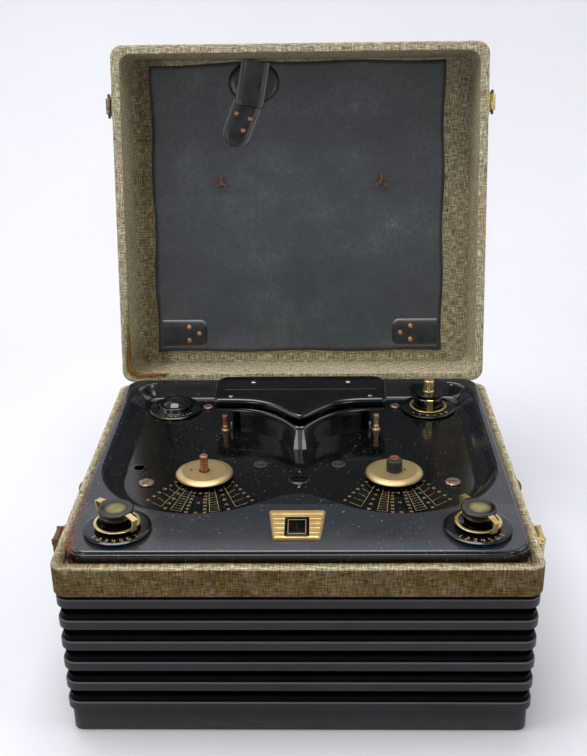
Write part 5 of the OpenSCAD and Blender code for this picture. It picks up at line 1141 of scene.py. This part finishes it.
# CAD nodes that stay, each with its finish
FINISHES = {
    PLYWOOD: ["bottom_panel"],
    STEEL: ["bottom_screws", "tape_heads", "mechanism_plate", "plate_standoffs", "hinge_pins", "capstan_flywheel",
            "pinch_arm"],
    BRASS: ["shaft_bearings", "motor_pulley"],
    IRON: ["motor_body", "power_transformer", "speaker_frame"],
    RUBBER: ["drive_belt", "pinch_roller"],
    ALUMINIUM: ["amplifier_chassis", "control_bodies"],
    GLASS: ["valves"],
    PAPER: ["speaker_cone"],
    COPPER: ["cap_screw", "left_spindle", "right_spindle"],
    RUSTY: ["hinge_base_leaves", "hinge_lid_leaves"],
    RUST: ["side_studs"],
    BAKELITE: ["speed_selector"],
}
for finish, names in FINISHES.items():
    for name in names:
        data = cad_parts[name].data
        data.materials.clear()
        data.materials.append(finish)

# Studio: a pale sweep of paper, a large soft light overhead, one each side, and a camera as in the photograph
scene = bpy.context.scene


# Matt pale paper: even, with slow changes of tone over half a metre.
def pale_paper(t):
    place = add(t, "TexCoord").outputs["Object"]
    tone = add(t, "TexNoise", links={"Vector": place, "Scale": 2.0, "Detail": 2.0})
    colour = add(t, "ValToRGB", {"stops": [(0.3, "#cacad0"), (0.7, "#d0d0d5")]}, {0: tone})
    return {"Base Color": colour, "Roughness": 0.9, "Specular IOR Level": 0.2}


def paper_sweep():
    """Floor that curves up into a backdrop: a flat run, a quarter circle and an upright, carried across."""
    q = np.linspace(0, np.pi / 2, 12)
    bend, start, half = 600, 700, 3500.0
    y = np.r_[-3000, start, start + bend * np.sin(q), start + bend]
    z = np.r_[0, 0, bend - bend * np.cos(q), 3500]
    p = np.stack(np.broadcast_arrays([[-half, half]], y[:, None], z[:, None]), -1) * MM
    mesh = bpy.data.meshes.new("paper_sweep")
    i = 2 * np.arange(len(y) - 1)
    mesh.from_pydata(p.reshape(-1, 3), [], np.stack([i, i + 1, i + 3, i + 2], -1))
    mesh.shade_smooth()
    mesh.materials.append(material("paper_matt_pale", pale_paper))
    piece = bpy.data.objects.new("paper_sweep", mesh)
    scene.collection.objects.link(piece)


def placed(data, right, up, back, place):
    """Adds a lamp or a camera at a place in metres, with its own axes given."""
    thing = bpy.data.objects.new(data.name, data)
    scene.collection.objects.link(thing)
    thing.matrix_world = Matrix(np.vstack([np.column_stack([right, up, back, place]), [0, 0, 0, 1]]))
    return thing


paper_sweep()
for name, place, aim, size, power in (
        ("light_overhead", (-0.3, 0.1, 2.4), (0, 0.1, 0.2), 1.6, 62),
        ("light_left", (-2.1, -0.5, 1.5), (0, 0, 0.3), 1.6, 18),
        ("light_right", (2.1, -0.3, 1.5), (0, 0, 0.3), 1.6, 18),
        ("light_low_left", (-0.95, -1.95, 0.84), (0, 0, 0.2), 0.5, 5),
        ("light_low_right", (0.9, -1.95, 0.84), (0, 0, 0.2), 0.5, 5)):
    lamp = bpy.data.lights.new(name, "AREA")
    lamp.size, lamp.energy = size, power
    back = np.array(place) - np.array(aim)
    back /= np.linalg.norm(back)
    right = np.cross((0, 0, 1), back)
    right /= np.linalg.norm(right)
    placed(lamp, right, np.cross(back, right), back, place)

world = bpy.data.worlds.new("studio_air")
scene.world = world
world.use_nodes = True
world.node_tree.nodes["Background"].inputs[0].default_value = linear("#f4f6fa")
world.node_tree.nodes["Background"].inputs[1].default_value = 0.34

# Camera: focal length in pixels of a picture 756 high, turns in degrees and place in mm
FOCAL, HIGH, SENSOR = 1070.624, 756, 36.0
EYE = np.array([19.433, -917.131, 665.407])
cam = bpy.data.cameras.new("camera")
cam.sensor_width = SENSOR
cam.lens = FOCAL * SENSOR / HIGH
yaw, pitch, roll = np.radians([-1.498, 23.852, -0.922])
level = np.array([np.cos(yaw), -np.sin(yaw), 0])
ahead = np.array([np.sin(yaw) * np.cos(pitch), np.cos(yaw) * np.cos(pitch), -np.sin(pitch)])
upright = np.cross(level, ahead)
scene.camera = placed(cam, np.cos(roll) * level + np.sin(roll) * upright,
                      np.cos(roll) * upright - np.sin(roll) * level, -ahead, EYE * MM)
scene.view_settings.view_transform = "Standard"
